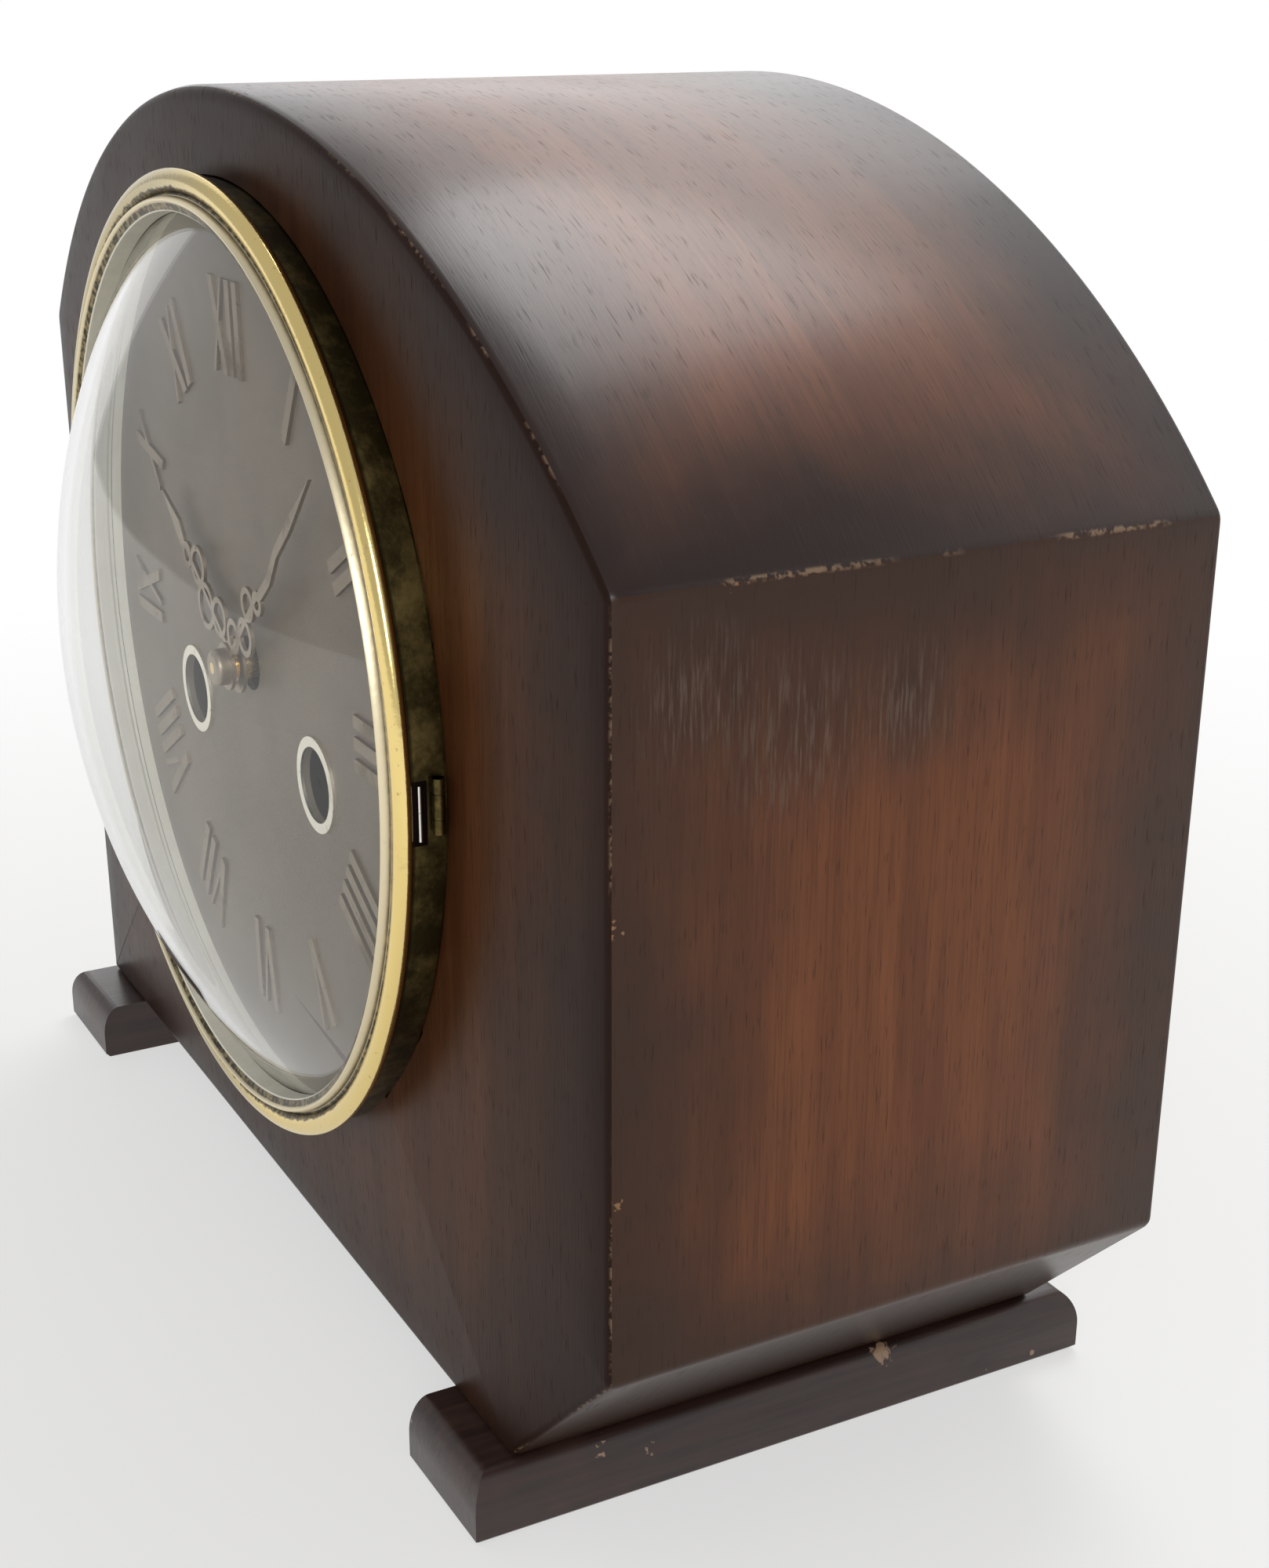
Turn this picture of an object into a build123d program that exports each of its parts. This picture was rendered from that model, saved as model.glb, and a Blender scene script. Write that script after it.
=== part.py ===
from build123d import *
import os
from math import atan2, cos, degrees, hypot, pi, radians, sin, sqrt

os.makedirs("parts", exist_ok=True)

# Sizes in millimetres. X runs right, Y runs back from the middle of the front face, Z runs up.

# case
foot_height = 11.0
half_width = 116.5
corner_run = 27.5
corner_height = 27.5
shoulder_drop = 38.0
arch_rise = 51.1
case_depth = 98.0
board = 8.0
panel_thickness = 12.0
front_bow = 4.8
foot_width = 24.3
foot_overhang = 3.6
foot_bead = 5.0
foot_toe = 0.8
foot_front_overhang = 4.6
foot_back_overhang = 8.0
back_thickness = 5.0

# back door
door_half_width = 59.0
door_bottom = 26.0
door_top = 128.0
door_corner = 14.0
door_gap = 0.6
door_thickness = 4.5
hinge_leaf = 1.0
hinge_leaf_width = 11.0
hinge_height = 20.0
hinge_inset = 18.0
hinge_knuckle_r = 1.6
hinge_pin_r = 0.8
hinge_lift = 1.9
knuckle_share = 0.4
side_gap = 0.3
pin_gap = 0.05
knob_r = 4.0
knob_length = 6.0
knob_inset = 9.0
knob_neck = 2.4
knob_round = 1.2
button_length = 20.0
button_width = 6.0
button_thickness = 2.0
button_offset = 6.0
screw_r = 1.5
screw_head_r = 2.6
screw_head = 1.2

# dial, bezel and glass
dial_height = 98.8
dial_ledge = 3.0
dial_inside = 1.0
seat_gap = 0.3
seat_depth = 2.0
dial_thickness = 1.0
dial_centre_hole_r = 4.5
base_lip = 1.5
base_front = 1.2
bezel_gap = 0.3
bezel_wall_depth = 4.6
roll_steps = ((1.0, 0.6), (1.5, 1.6), (1.1, 2.9), (0.1, 3.9), (-1.2, 4.4), (-2.5, 4.0), (-3.5, 3.0),
              (-3.9, 2.6))
lip_steps = ((2.7, 2.0), (2.1, 2.4), (1.5, 2.3), (0.0, 1.9), (0.0, 1.4))
bezel_rim = 7.5
bezel_wall = 1.2
glass_r = 68.0
glass_lip = 1.5
glass_edge = 4.9
glass_rise = 21.0
glass_thickness = 1.6
bezel_pin_out = 1.0
bezel_pin_r = 0.8
bezel_knuckle_r = 1.6
bezel_lug = 2.0
bezel_slot = 4.0
knuckle_reach = 3.8
glass_play = 0.1
retainer_set = 0.2
numeral_margin = 6.5
numeral_height = 14.5
numeral_bar = 2.0
numeral_thin = 1.0
numeral_step = 3.4
numeral_wide_share = 2.1
numeral_raise = 0.6
hole_x = 28.5
hole_drop = 12.0
ring_r = 7.6
ring_hole_r = 6.0
ring_raise = 0.5

# hands, set to eight minutes past ten
hour_angle = 304.0
minute_angle = 48.0
hour_hand_length = 40.0
minute_hand_length = 57.0
hand_thickness = 0.6
hour_hand_y = -1.6
minute_hand_y = -3.2
hand_bar = 1.0
hand_boss = 2.0
hour_stem = (3.5, 26.5)
hour_scrolls = ((1.5, 9.0, 3.4), (-1.7, 14.6, 4.0), (1.5, 20.6, 3.4), (-0.8, 25.4, 2.2))
hour_blade = ((-1.6, 26.6), (0.5, 27.4), (1.7, 31.0), (0.0, hour_hand_length), (-1.4, 31.5))
minute_stem = (3.0, 23.0)
minute_scrolls = ((-1.3, 7.8, 2.9), (1.5, 12.8, 3.2), (-1.3, 18.2, 2.8), (0.8, 22.4, 2.0))
minute_blade = ((-0.4, 22.0), (1.4, 23.6), (1.9, 30.0), (0.6, 36.0), (0.9, 44.0), (0.0, minute_hand_length),
                (-0.9, 44.5), (-0.9, 36.0), (0.3, 30.0))
nut_r = 3.0
nut_height = 2.2
round_share = 0.4

# movement frame
front_plate_y = 20.0
plate = 2.0
plate_space = 32.0
plate_half_width = 54.0
plate_below = 52.0
plate_above = 60.0
pillar_x = 50.0
pillar_low = 47.0
pillar_high = 54.0
pillar_r = 3.5
standoff_r = 4.2
pillar_nut_r = 4.5
pillar_nut = 2.5
run_gap = 0.06

# wheels: teeth, leaves and planes
great_teeth = 56
centre_teeth = 56
third_teeth = 56
escape_teeth = 30
pinion_leaves = 8
pin_teeth = 54
strike_third_teeth = 42
fly_leaves = 7
cannon_teeth = 12
minute_teeth = 36
minute_leaves = 10
hour_teeth = 40
tooth_share = 0.40
tip_share = 0.5
addendum = 0.75
dedendum = 1.15
root_share = 0.42
great_y = 24.0
great_width = 2.5
drum_back = 46.0
drum_r = 24.0
drum_wall = 1.4
wheel_y = 48.0
wheel_width = 1.2
third_y = 30.0
escape_y = 51.0
escape_r = 12.0
escape_tooth_share = ((0.0, 1.0), (0.3, 0.86), (0.75, 0.84))
escape_rim_share = 0.72
hub_r = 3.0
strike_third_y = 40.0
pinion_over = 0.6
arbor_r = 1.2
barrel_arbor_r = 2.2
barrel_core_r = 6.0
square_side = 4.0
square_front = 4.0
ratchet_y = 16.0
ratchet_width = 1.5
ratchet_r = 9.0
ratchet_teeth = 16
ratchet_tooth = 1.6
ratchet_lean_share = 0.85
click_gap = 0.4
click_width = 4.0
click_stud_r = 1.4
click_rise = 15.5
motion_y = 17.0
motion_width = 1.5
hour_wheel_y = 13.0
stud_r = 1.0
minute_stud_drop = 12.0
cannon_pipe_r = 1.85
centre_arbor_r = 1.0
hour_pipe_wall = 0.65
spokes = 4
spoke_width = 2.4
rim_width = 2.6

# escapement and pendulum
third_x = 5.1
third_z = 19.1
escape_z = 34.3
anchor_z = 51.3
anchor_clear = 1.2
anchor_bar = 3.0
pallet_x_share = 0.72
pallet_z_share = 0.78
pallet_width = 3.4
crutch_y = 58.0
crutch_width = 2.0
crutch_drop = 31.0
pendulum_y = 66.0
rod_r = 1.2
bob_drop = 96.0
bob_r = 14.0
bob_thickness = 8.0
bob_edge = 2.4
rating_nut_r = 4.0
rating_nut = 3.0
rod_tail = 7.0
spring_strip = 0.3
spring_width = 6.0
spring_rise = 6.5
cock_width = 12.0
cock_height = 8.0
cock_thickness = 2.0
cock_slot = 1.6
cock_grip = 1.0

# striking train
pin_x = -31.2
pin_z = 18.8
strike_third_x = -28.2
strike_third_z = 35.5
fly_x = -22.3
fly_z = 45.7
fly_r = 8.0
fly_length = 10.0
fly_blade = 0.8
pin_circle = 11.0
lift_pins = 8
lift_pin_r = 0.8
lift_pin_length = 3.6
hammer_x = -34.0
hammer_z = -42.0
hammer_before = 1.0
hammer_arm = 2.0
hammer_reach = 26.0
hammer_tail_x = -38.5
hammer_tail_z = 6.5
hammer_head_r = 4.0
hammer_head = 9.0
hammer_gap = 1.2
rod_gong_r = 1.5
gong_back = 19.0
rod_gong_pitch = 5.0
rod_gong_count = 2
rod_gong_left = -78.0
gong_height = 13.0
gong_block_x = 56.0
gong_block_length = 22.0
gong_block_depth = 20.0
gong_block_height = 20.0

# places that follow from the sizes
bezel_r = glass_r + bezel_rim
sight_r = glass_r - glass_lip
dial_r = glass_r - dial_inside
base_lip_r = dial_r - base_lip
dial_opening_r = min(dial_r - dial_ledge, hypot(pillar_x, pillar_low) - standoff_r - seat_gap)
numeral_inner_r = dial_r - numeral_margin - numeral_height
bottom_half_width = half_width - corner_run
crease_height = dial_height + bezel_r - shoulder_drop
rod_gong_y = case_depth - back_thickness - gong_back
hammer_y = rod_gong_y - hammer_before
dial_z = foot_height + dial_height
apex_z = foot_height + crease_height + arch_rise
arch_r = (half_width ** 2 + arch_rise ** 2) / (2 * arch_rise)
arch_centre_z = apex_z - arch_r
left_half_width = half_width - foot_overhang
bow_r = (half_width ** 2 + front_bow ** 2) / (2 * front_bow)
glass_sphere_r = (glass_r ** 2 + glass_rise ** 2) / (2 * glass_rise)
glass_front = -(glass_edge + glass_rise)
y_middle = (glass_front + case_depth + foot_back_overhang) / 2
back_plate_y = front_plate_y + plate + plate_space
dial_front = seat_depth - dial_thickness
anchor_reach = escape_r + anchor_clear
hole_z = dial_z - hole_drop
strike_great_y = drum_back - great_width
great_module = 2 * hypot(hole_x, hole_drop) / (great_teeth + pinion_leaves)
centre_module = 2 * hypot(third_x, third_z) / (centre_teeth + pinion_leaves)
third_module = 2 * hypot(third_x, escape_z - third_z) / (third_teeth + pinion_leaves)
pin_pinion_module = 2 * hypot(pin_x + hole_x, pin_z + hole_drop) / (great_teeth + pinion_leaves)
pin_module = 2 * hypot(strike_third_x - pin_x, strike_third_z - pin_z) / (pin_teeth + pinion_leaves)
fly_module = 2 * hypot(fly_x - strike_third_x, fly_z - strike_third_z) / (strike_third_teeth + fly_leaves)
minute_module = 2 * minute_stud_drop / (cannon_teeth + minute_teeth)
hour_module = 2 * minute_stud_drop / (hour_teeth + minute_leaves)


def save(name, *solids):
    """Write one sub-part, moved so that the origin lies under the middle of the whole clock."""
    placed = [Pos(0, -y_middle, 0) * solid for item in solids for solid in item.solids()]
    whole = placed[0] if len(placed) == 1 else Compound(children=placed)
    export_step(whole, "parts/" + name + ".step")


def slab(face, y_front, y_back):
    """A flat piece with its outline drawn in X and Z."""
    plane = Plane(origin=(0, y_back, 0), x_dir=(1, 0, 0), z_dir=(0, -1, 0))
    return extrude(plane * face, amount=y_back - y_front)


def rod(x, z, r, y_front, y_back):
    """A round bar along Y."""
    return slab(Pos(x, z) * Circle(r), y_front, y_back)


def ring(x, z, r, hole, y_front, y_back):
    """A plain ring along Y."""
    return slab(Pos(x, z) * (Circle(r) - Circle(hole)), y_front, y_back)


def polygon(points):
    """A flat outline with straight edges."""
    return make_face(Polyline(*points, close=True))


def block(x0, x1, y0, y1, z0, z1):
    """A box given by its limits."""
    return Pos((x0 + x1) / 2, (y0 + y1) / 2, (z0 + z1) / 2) * Box(x1 - x0, y1 - y0, z1 - z0)


def turned(points):
    """A ring turned about the dial's axis from a section of radius and depth."""
    return revolve(Pos(0, 0, dial_z) * polygon(points), axis=Axis((0, 0, dial_z), (0, 1, 0)))


def gear(teeth, module, phase):
    """A toothed outline: each tooth is a narrow trapezium, the first one at the phase angle."""
    pitch = 360 / teeth
    tip_r = module * (teeth / 2 + addendum)
    root_r = module * (teeth / 2 - dedendum)
    half = pitch * tooth_share / 2
    tip_half = half * tip_share
    root_half = min(half + (half - tip_half) * dedendum / addendum, root_share * pitch)
    points = []
    for tooth in range(teeth):
        middle = phase + tooth * pitch
        flanks = ((root_r, -root_half), (tip_r, -tip_half), (tip_r, tip_half), (root_r, root_half))
        for radius, angle in flanks:
            turn = radians(middle + angle)
            points.append((radius * cos(turn), radius * sin(turn)))
    return polygon(points)


def meshed(teeth, phase, leaves, dx, dz):
    """The phase that puts a gap of the second wheel on a tooth of the first, which lies dx, dz away."""
    line = degrees(atan2(dz, dx))
    return line + 180 - teeth / leaves * (phase - line) - 180 / leaves


def crossing(outer, inner):
    """The windows between a wheel's spokes."""
    windows = Circle(outer) - Circle(inner)
    for spoke in range(spokes):
        bar = Pos(outer / 2, 0) * Rectangle(outer + spoke_width, spoke_width)
        windows -= Rot(0, 0, 360 * spoke / spokes) * bar
    return windows


def wheel(x, z, teeth, module, phase, y, width, hub_r):
    """A crossed-out wheel."""
    disc = gear(teeth, module, phase)
    disc -= crossing(module * teeth / 2 - rim_width, hub_r)
    return slab(Pos(x, z) * disc, y, y + width)


def pinion(x, z, leaves, module, phase, y, width):
    """A pinion in line with a wheel, a little wider than it."""
    return slab(Pos(x, z) * gear(leaves, module, phase), y - pinion_over, y + width + pinion_over)


def inner_corner():
    """Inside corners of the right side's boards: at the crease, at the lower corner and at the bottom."""
    dx, dz = half_width - bottom_half_width, corner_height
    length = hypot(dx, dz)
    nx, nz = -dz / length, dx / length
    side = half_width - board
    crease = arch_centre_z + sqrt((arch_r - board) ** 2 - side ** 2)
    along = (side - bottom_half_width - board * nx) / dx
    low = foot_height + board * nz + along * dz
    along = (board - board * nz) / dz
    foot = bottom_half_width + board * nx + along * dx
    return crease, low, foot


crease_in, low_in, bottom_in = inner_corner()
crease_z = foot_height + crease_height
corner_z = foot_height + corner_height
board_top = foot_height + board
side_in = half_width - board
left_in = left_half_width - board
left_crease_z = arch_centre_z + sqrt(arch_r ** 2 - left_half_width ** 2)
left_crease_in = arch_centre_z + sqrt((arch_r - board) ** 2 - left_in ** 2)


def case_outline():
    """The front outline: upright sides under one round arch, the lower right corner cut on the slant."""
    arch = ThreePointArc((half_width, crease_z), (0, apex_z), (-left_half_width, left_crease_z))
    rest = Polyline((-left_half_width, left_crease_z), (-left_half_width, foot_height),
                    (bottom_half_width, foot_height), (half_width, corner_z), (half_width, crease_z))
    return make_face(arch + rest)


def inside_outline():
    """The outline of the space inside the case boards."""
    arch = ThreePointArc((side_in, crease_in), (0, apex_z - board), (-left_in, left_crease_in))
    rest = Polyline((-left_in, left_crease_in), (-left_in, board_top), (bottom_in, board_top),
                    (side_in, low_in), (side_in, crease_in))
    return make_face(arch + rest)


def moulding(low, high, shaped_low):
    """A foot's section between two edges: upright below and quarter-round above, at one edge or at both."""
    lean = foot_overhang * (1 - cos(pi / 4))
    rise = foot_bead + (foot_height - foot_bead) * sin(pi / 4)
    edges = Polyline((high - foot_toe, 0), (high, foot_toe), (high, foot_bead))
    edges += ThreePointArc((high, foot_bead), (high - lean, rise), (high - foot_overhang, foot_height))
    if shaped_low:
        edges += Line((high - foot_overhang, foot_height), (low + foot_overhang, foot_height))
        edges += ThreePointArc((low + foot_overhang, foot_height), (low + lean, rise), (low, foot_bead))
        edges += Polyline((low, foot_bead), (low, foot_toe), (low + foot_toe, 0), (high - foot_toe, 0))
    else:
        edges += Polyline((high - foot_overhang, foot_height), (low, foot_height), (low, 0),
                          (high - foot_toe, 0))
    return make_face(edges)


def make_foot(outer):
    """A moulded foot with mitred corners, shaped on its outer side, its front and its back."""
    front = -foot_front_overhang
    back = case_depth + foot_back_overhang
    across = slab(moulding(outer - foot_width, outer, False), front, back)
    along = extrude(Plane.YZ * moulding(front, back, True), amount=outer)
    return across & along


def make_case():
    """Bowed front, bent top, sides, the slanted board, bottom and the two moulded feet."""
    plan_arc = ThreePointArc((-half_width, front_bow), (0, 0), (half_width, front_bow))
    plan_back = Polyline((half_width, front_bow), (half_width, panel_thickness),
                         (-half_width, panel_thickness), (-half_width, front_bow))
    bowed = extrude(make_face(plan_arc + plan_back), amount=apex_z)
    panel = bowed & slab(case_outline(), 0, panel_thickness)
    panel -= rod(0, dial_z, dial_opening_r, -panel_thickness, 2 * panel_thickness)
    panel -= rod(0, dial_z, bezel_r + seat_gap, -panel_thickness, seat_depth)
    save("front_panel", panel)

    outer = ThreePointArc((half_width, crease_z), (0, apex_z), (-left_half_width, left_crease_z))
    left = Line((-left_half_width, left_crease_z), (-left_in, left_crease_in))
    inner = ThreePointArc((-left_in, left_crease_in), (0, apex_z - board), (side_in, crease_in))
    right = Line((side_in, crease_in), (half_width, crease_z))
    save("arch_top", slab(make_face(outer + left + inner + right), panel_thickness, case_depth))

    boards = {
        "side_right": [(half_width, corner_z), (half_width, crease_z), (side_in, crease_in),
                       (side_in, low_in)],
        "slant_right": [(bottom_half_width, foot_height), (half_width, corner_z), (side_in, low_in),
                        (bottom_in, board_top)],
        "side_left": [(-left_half_width, foot_height), (-left_half_width, left_crease_z),
                      (-left_in, left_crease_in), (-left_in, board_top)],
        "bottom_board": [(-left_half_width, foot_height), (bottom_half_width, foot_height),
                         (bottom_in, board_top), (-left_in, board_top)],
    }
    for name, points in boards.items():
        save(name, slab(polygon(points), panel_thickness, case_depth))
    save("foot_right", make_foot(bottom_half_width + foot_overhang))
    save("foot_left", mirror(make_foot(left_half_width + foot_overhang), about=Plane.YZ))


door_low = foot_height + door_bottom
door_high = foot_height + door_top
door_mid = (door_low + door_high) / 2
hinge_x = door_half_width + door_gap / 2
hinge_y = case_depth + hinge_lift


def door_outline(gap):
    """The back opening: square below, rounded corners above."""
    width = 2 * (door_half_width - gap)
    height = door_high - door_low - 2 * gap
    return Pos(0, door_mid) * RectangleRounded(width, height, door_corner - gap)


def make_back():
    """Back board with its opening, the door, its two hinges, knob and turn button."""
    back = slab(inside_outline() - door_outline(0), case_depth - back_thickness, case_depth)
    save("back_board", back)
    door = slab(door_outline(door_gap), case_depth - door_thickness, case_depth)
    save("back_door", door)

    fixed = []
    moving = []
    pins = []
    half = hinge_height / 2
    middle = half * knuckle_share
    bore = hinge_pin_r + pin_gap
    for z in (door_low + hinge_inset, door_high - hinge_inset):
        clear = hinge_knuckle_r + side_gap
        frame = block(hinge_x + clear, hinge_x + clear + hinge_leaf_width, case_depth,
                      case_depth + hinge_leaf, z - half, z + half)
        frame += block(hinge_x, hinge_x + clear, case_depth + side_gap, case_depth + hinge_leaf,
                       z - middle, z + middle)
        frame += Pos(hinge_x, hinge_y, z) * Cylinder(hinge_knuckle_r, 2 * middle)
        fixed.append(frame - Pos(hinge_x, hinge_y, z) * Cylinder(hinge_pin_r, hinge_height))
        leaf = block(hinge_x - clear - hinge_leaf_width, hinge_x - clear, case_depth, case_depth + hinge_leaf,
                     z - half, z + half)
        for end in (-1, 1):
            low, high = sorted((end * (middle + side_gap), end * half))
            leaf += block(hinge_x - clear, hinge_x, case_depth + side_gap, case_depth + hinge_leaf,
                          z + low, z + high)
            leaf += Pos(hinge_x, hinge_y, z + (low + high) / 2) * Cylinder(hinge_knuckle_r, high - low)
        moving.append(leaf - Pos(hinge_x, hinge_y, z) * Cylinder(bore, 2 * hinge_height))
        pins.append(Pos(hinge_x, hinge_y, z) * Cylinder(hinge_pin_r, hinge_height))
    save("door_hinge_frame_leaves", *fixed)
    save("door_hinge_door_leaves", *moving)
    save("door_hinge_pins", *pins)

    knob_x = -(door_half_width - door_gap - knob_inset)
    neck = rod(knob_x, door_mid, knob_r / 2, case_depth, case_depth + knob_length)
    head = rod(knob_x, door_mid, knob_r, case_depth + knob_neck, case_depth + knob_length)
    save("door_knob", fillet((neck + head).edges().sort_by(Axis.Y)[-1:], knob_round))

    button_x = -(door_half_width + button_offset)
    button_y = case_depth + side_gap
    bar = SlotOverall(button_length, button_width, rotation=90) - Circle(screw_r + pin_gap)
    save("turn_button", slab(Pos(button_x, door_mid) * bar, button_y, button_y + button_thickness))
    head_y = button_y + button_thickness + side_gap
    screw = rod(button_x, door_mid, screw_r, case_depth, head_y)
    screw += rod(button_x, door_mid, screw_head_r, head_y, head_y + screw_head)
    save("turn_button_screw", screw)


bezel_axis_x = bezel_r + bezel_pin_out
bezel_back = -(base_front + bezel_gap)


def roman(strokes):
    """One raised numeral, drawn upright with its foot at the origin."""
    face = None
    wide = numeral_wide_share * numeral_step
    widths = {"I": numeral_step, "V": wide, "X": wide}
    total = sum(widths[s] for s in strokes)
    left = -total / 2
    for stroke in strokes:
        wide = widths[stroke]
        reach = wide / 2 - numeral_bar / 2
        if stroke == "I":
            marks = [(0, 0, numeral_bar)]
        elif stroke == "V":
            marks = [(-reach, 0, numeral_bar), (reach, 0, numeral_thin)]
        else:
            marks = [(-reach, reach, numeral_bar), (reach, -reach, numeral_thin)]
        for top, foot, bar in marks:
            x = left + wide / 2
            piece = polygon([(x + foot - bar / 2, 0), (x + foot + bar / 2, 0),
                             (x + top + bar / 2, numeral_height), (x + top - bar / 2, numeral_height)])
            face = piece if face is None else face + piece
        left += wide
    return face


def make_dial():
    """Dial plate, applied numerals, winding-hole rings, base ring, hinged bezel, glass and its retainer."""
    plate_face = Circle(dial_r) - Circle(dial_centre_hole_r)
    for x in (-hole_x, hole_x):
        plate_face -= Pos(x, -hole_drop) * Circle(ring_hole_r)
    save("dial_plate", slab(Pos(0, dial_z) * plate_face, dial_front, seat_depth))

    numerals = []
    hours = ("XII", "I", "II", "III", "IIII", "V", "VI", "VII", "VIII", "IX", "X", "XI")
    for hour, strokes in enumerate(hours):
        placed = Pos(0, dial_z) * Rot(0, 0, -30 * hour) * Pos(0, numeral_inner_r) * roman(strokes)
        numerals.append(slab(placed, dial_front - numeral_raise, dial_front))
    save("dial_numerals", *numerals)
    ring_front = dial_front - ring_raise
    rings = [ring(x, hole_z, ring_r, ring_hole_r, ring_front, dial_front) for x in (-hole_x, hole_x)]
    save("winding_hole_rings", *rings)

    base = turned([(dial_r + seat_gap, seat_depth), (bezel_r, seat_depth), (bezel_r, -base_front),
                   (base_lip_r, -base_front), (base_lip_r, dial_front), (dial_r + seat_gap, dial_front)])
    lug_end = bezel_slot / 2 + bezel_lug
    for end in (-1, 1):
        low, high = sorted((end * bezel_slot / 2, end * lug_end))
        base += block(bezel_r - 2 * bezel_lug, bezel_axis_x, -base_front, bezel_knuckle_r,
                      dial_z + low, dial_z + high)
        base += Pos(bezel_axis_x, 0, dial_z + (low + high) / 2) * Cylinder(bezel_knuckle_r, high - low)
    clear = bezel_knuckle_r + seat_gap
    base -= block(bezel_axis_x - clear, bezel_axis_x + clear, -base_front - clear, clear,
                  dial_z - bezel_slot / 2, dial_z + bezel_slot / 2)
    base -= Pos(bezel_axis_x, 0, dial_z) * Cylinder(bezel_pin_r, 2 * lug_end)
    save("bezel_base_ring", base)
    save("bezel_hinge_pin", Pos(bezel_axis_x, 0, dial_z) * Cylinder(bezel_pin_r, 2 * lug_end))

    rebate_r = bezel_r - bezel_wall
    rebate = -(glass_edge + glass_play)
    wall_front = -bezel_wall_depth
    section = [(bezel_r, bezel_back), (bezel_r, wall_front)]
    section += [(bezel_r + out, wall_front - rise) for out, rise in roll_steps]
    section += [(sight_r + out, -(glass_edge + rise)) for out, rise in lip_steps]
    section += [(glass_r + seat_gap, rebate), (rebate_r, rebate), (rebate_r, bezel_back)]
    bezel = turned(section)
    knuckle_half = bezel_slot / 2 - seat_gap
    bezel += block(bezel_axis_x - bezel_knuckle_r, bezel_axis_x, -knuckle_reach, -bezel_pin_r - pin_gap,
                   dial_z - knuckle_half, dial_z + knuckle_half)
    bezel += Pos(bezel_axis_x, 0, dial_z) * Cylinder(bezel_knuckle_r, 2 * knuckle_half)
    bezel -= Pos(bezel_axis_x, 0, dial_z) * Cylinder(bezel_pin_r + pin_gap, 2 * lug_end)
    save("bezel_ring", bezel)

    keep = glass_edge - glass_thickness / sqrt(1 - (glass_r / glass_sphere_r) ** 2)
    back = bezel_back - retainer_set
    retainer = turned([(sight_r, -keep + pin_gap), (sight_r, back), (rebate_r, back), (rebate_r, rebate),
                       (glass_r + seat_gap, rebate), (glass_r + seat_gap, -keep + pin_gap)])
    save("glass_retainer", retainer)

    centre_y = glass_front + glass_sphere_r
    outer = Pos(0, centre_y, dial_z) * Sphere(glass_sphere_r)
    inner = Pos(0, centre_y, dial_z) * Sphere(glass_sphere_r - glass_thickness)
    cap = rod(0, dial_z, glass_r, glass_front - glass_thickness, 0)
    save("bezel_glass", (outer - inner) & cap)


def loops(marks, thin):
    """Pierced scrolls along a hand: rings that lean left and right in turn."""
    face = None
    for side, along, radius in marks:
        piece = Pos(side, along) * Circle(radius)
        face = piece if face is None else face + piece
    for side, along, radius in marks:
        face -= Pos(side, along) * Circle(radius - thin)
    return face


def hand(bore, stem, scrolls, blade, angle, y):
    """One pierced hand: boss, thin stem, scrolls and blade, turned to its hour."""
    face = loops(scrolls, hand_bar) + polygon(blade) + Circle(bore + hand_boss)
    face += Pos(0, (stem[0] + stem[1]) / 2) * Rectangle(hand_bar, stem[1] - stem[0])
    face = Pos(0, dial_z) * Rot(0, 0, -angle) * (face - Circle(bore))
    return slab(face, y, y + hand_thickness)


def make_hands():
    """Serpentine pierced hands and the nut that holds them."""
    pipe_r = cannon_pipe_r + run_gap + hour_pipe_wall
    save("hour_hand", hand(pipe_r, hour_stem, hour_scrolls, hour_blade, hour_angle, hour_hand_y))
    minute = hand(cannon_pipe_r, minute_stem, minute_scrolls, minute_blade, minute_angle, minute_hand_y)
    save("minute_hand", minute)
    nut = rod(0, dial_z, nut_r, minute_hand_y - nut_height, minute_hand_y)
    nut = fillet(nut.edges().sort_by(Axis.Y)[:1], nut_height * round_share)
    nut -= rod(0, dial_z, centre_arbor_r + run_gap, minute_hand_y - 2 * nut_height, minute_hand_y)
    save("hand_nut", nut)


corners = [(x, z) for x in (-pillar_x, pillar_x) for z in (-pillar_low, pillar_high)]
arbor_holes = [(0, 0, cannon_pipe_r), (third_x, third_z, arbor_r), (0, escape_z, arbor_r),
               (0, anchor_z, arbor_r), (pin_x, pin_z, arbor_r), (strike_third_x, strike_third_z, arbor_r),
               (fly_x, fly_z, arbor_r), (hammer_x, hammer_z, arbor_r), (-hole_x, -hole_drop, barrel_arbor_r),
               (hole_x, -hole_drop, barrel_arbor_r)]


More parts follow.
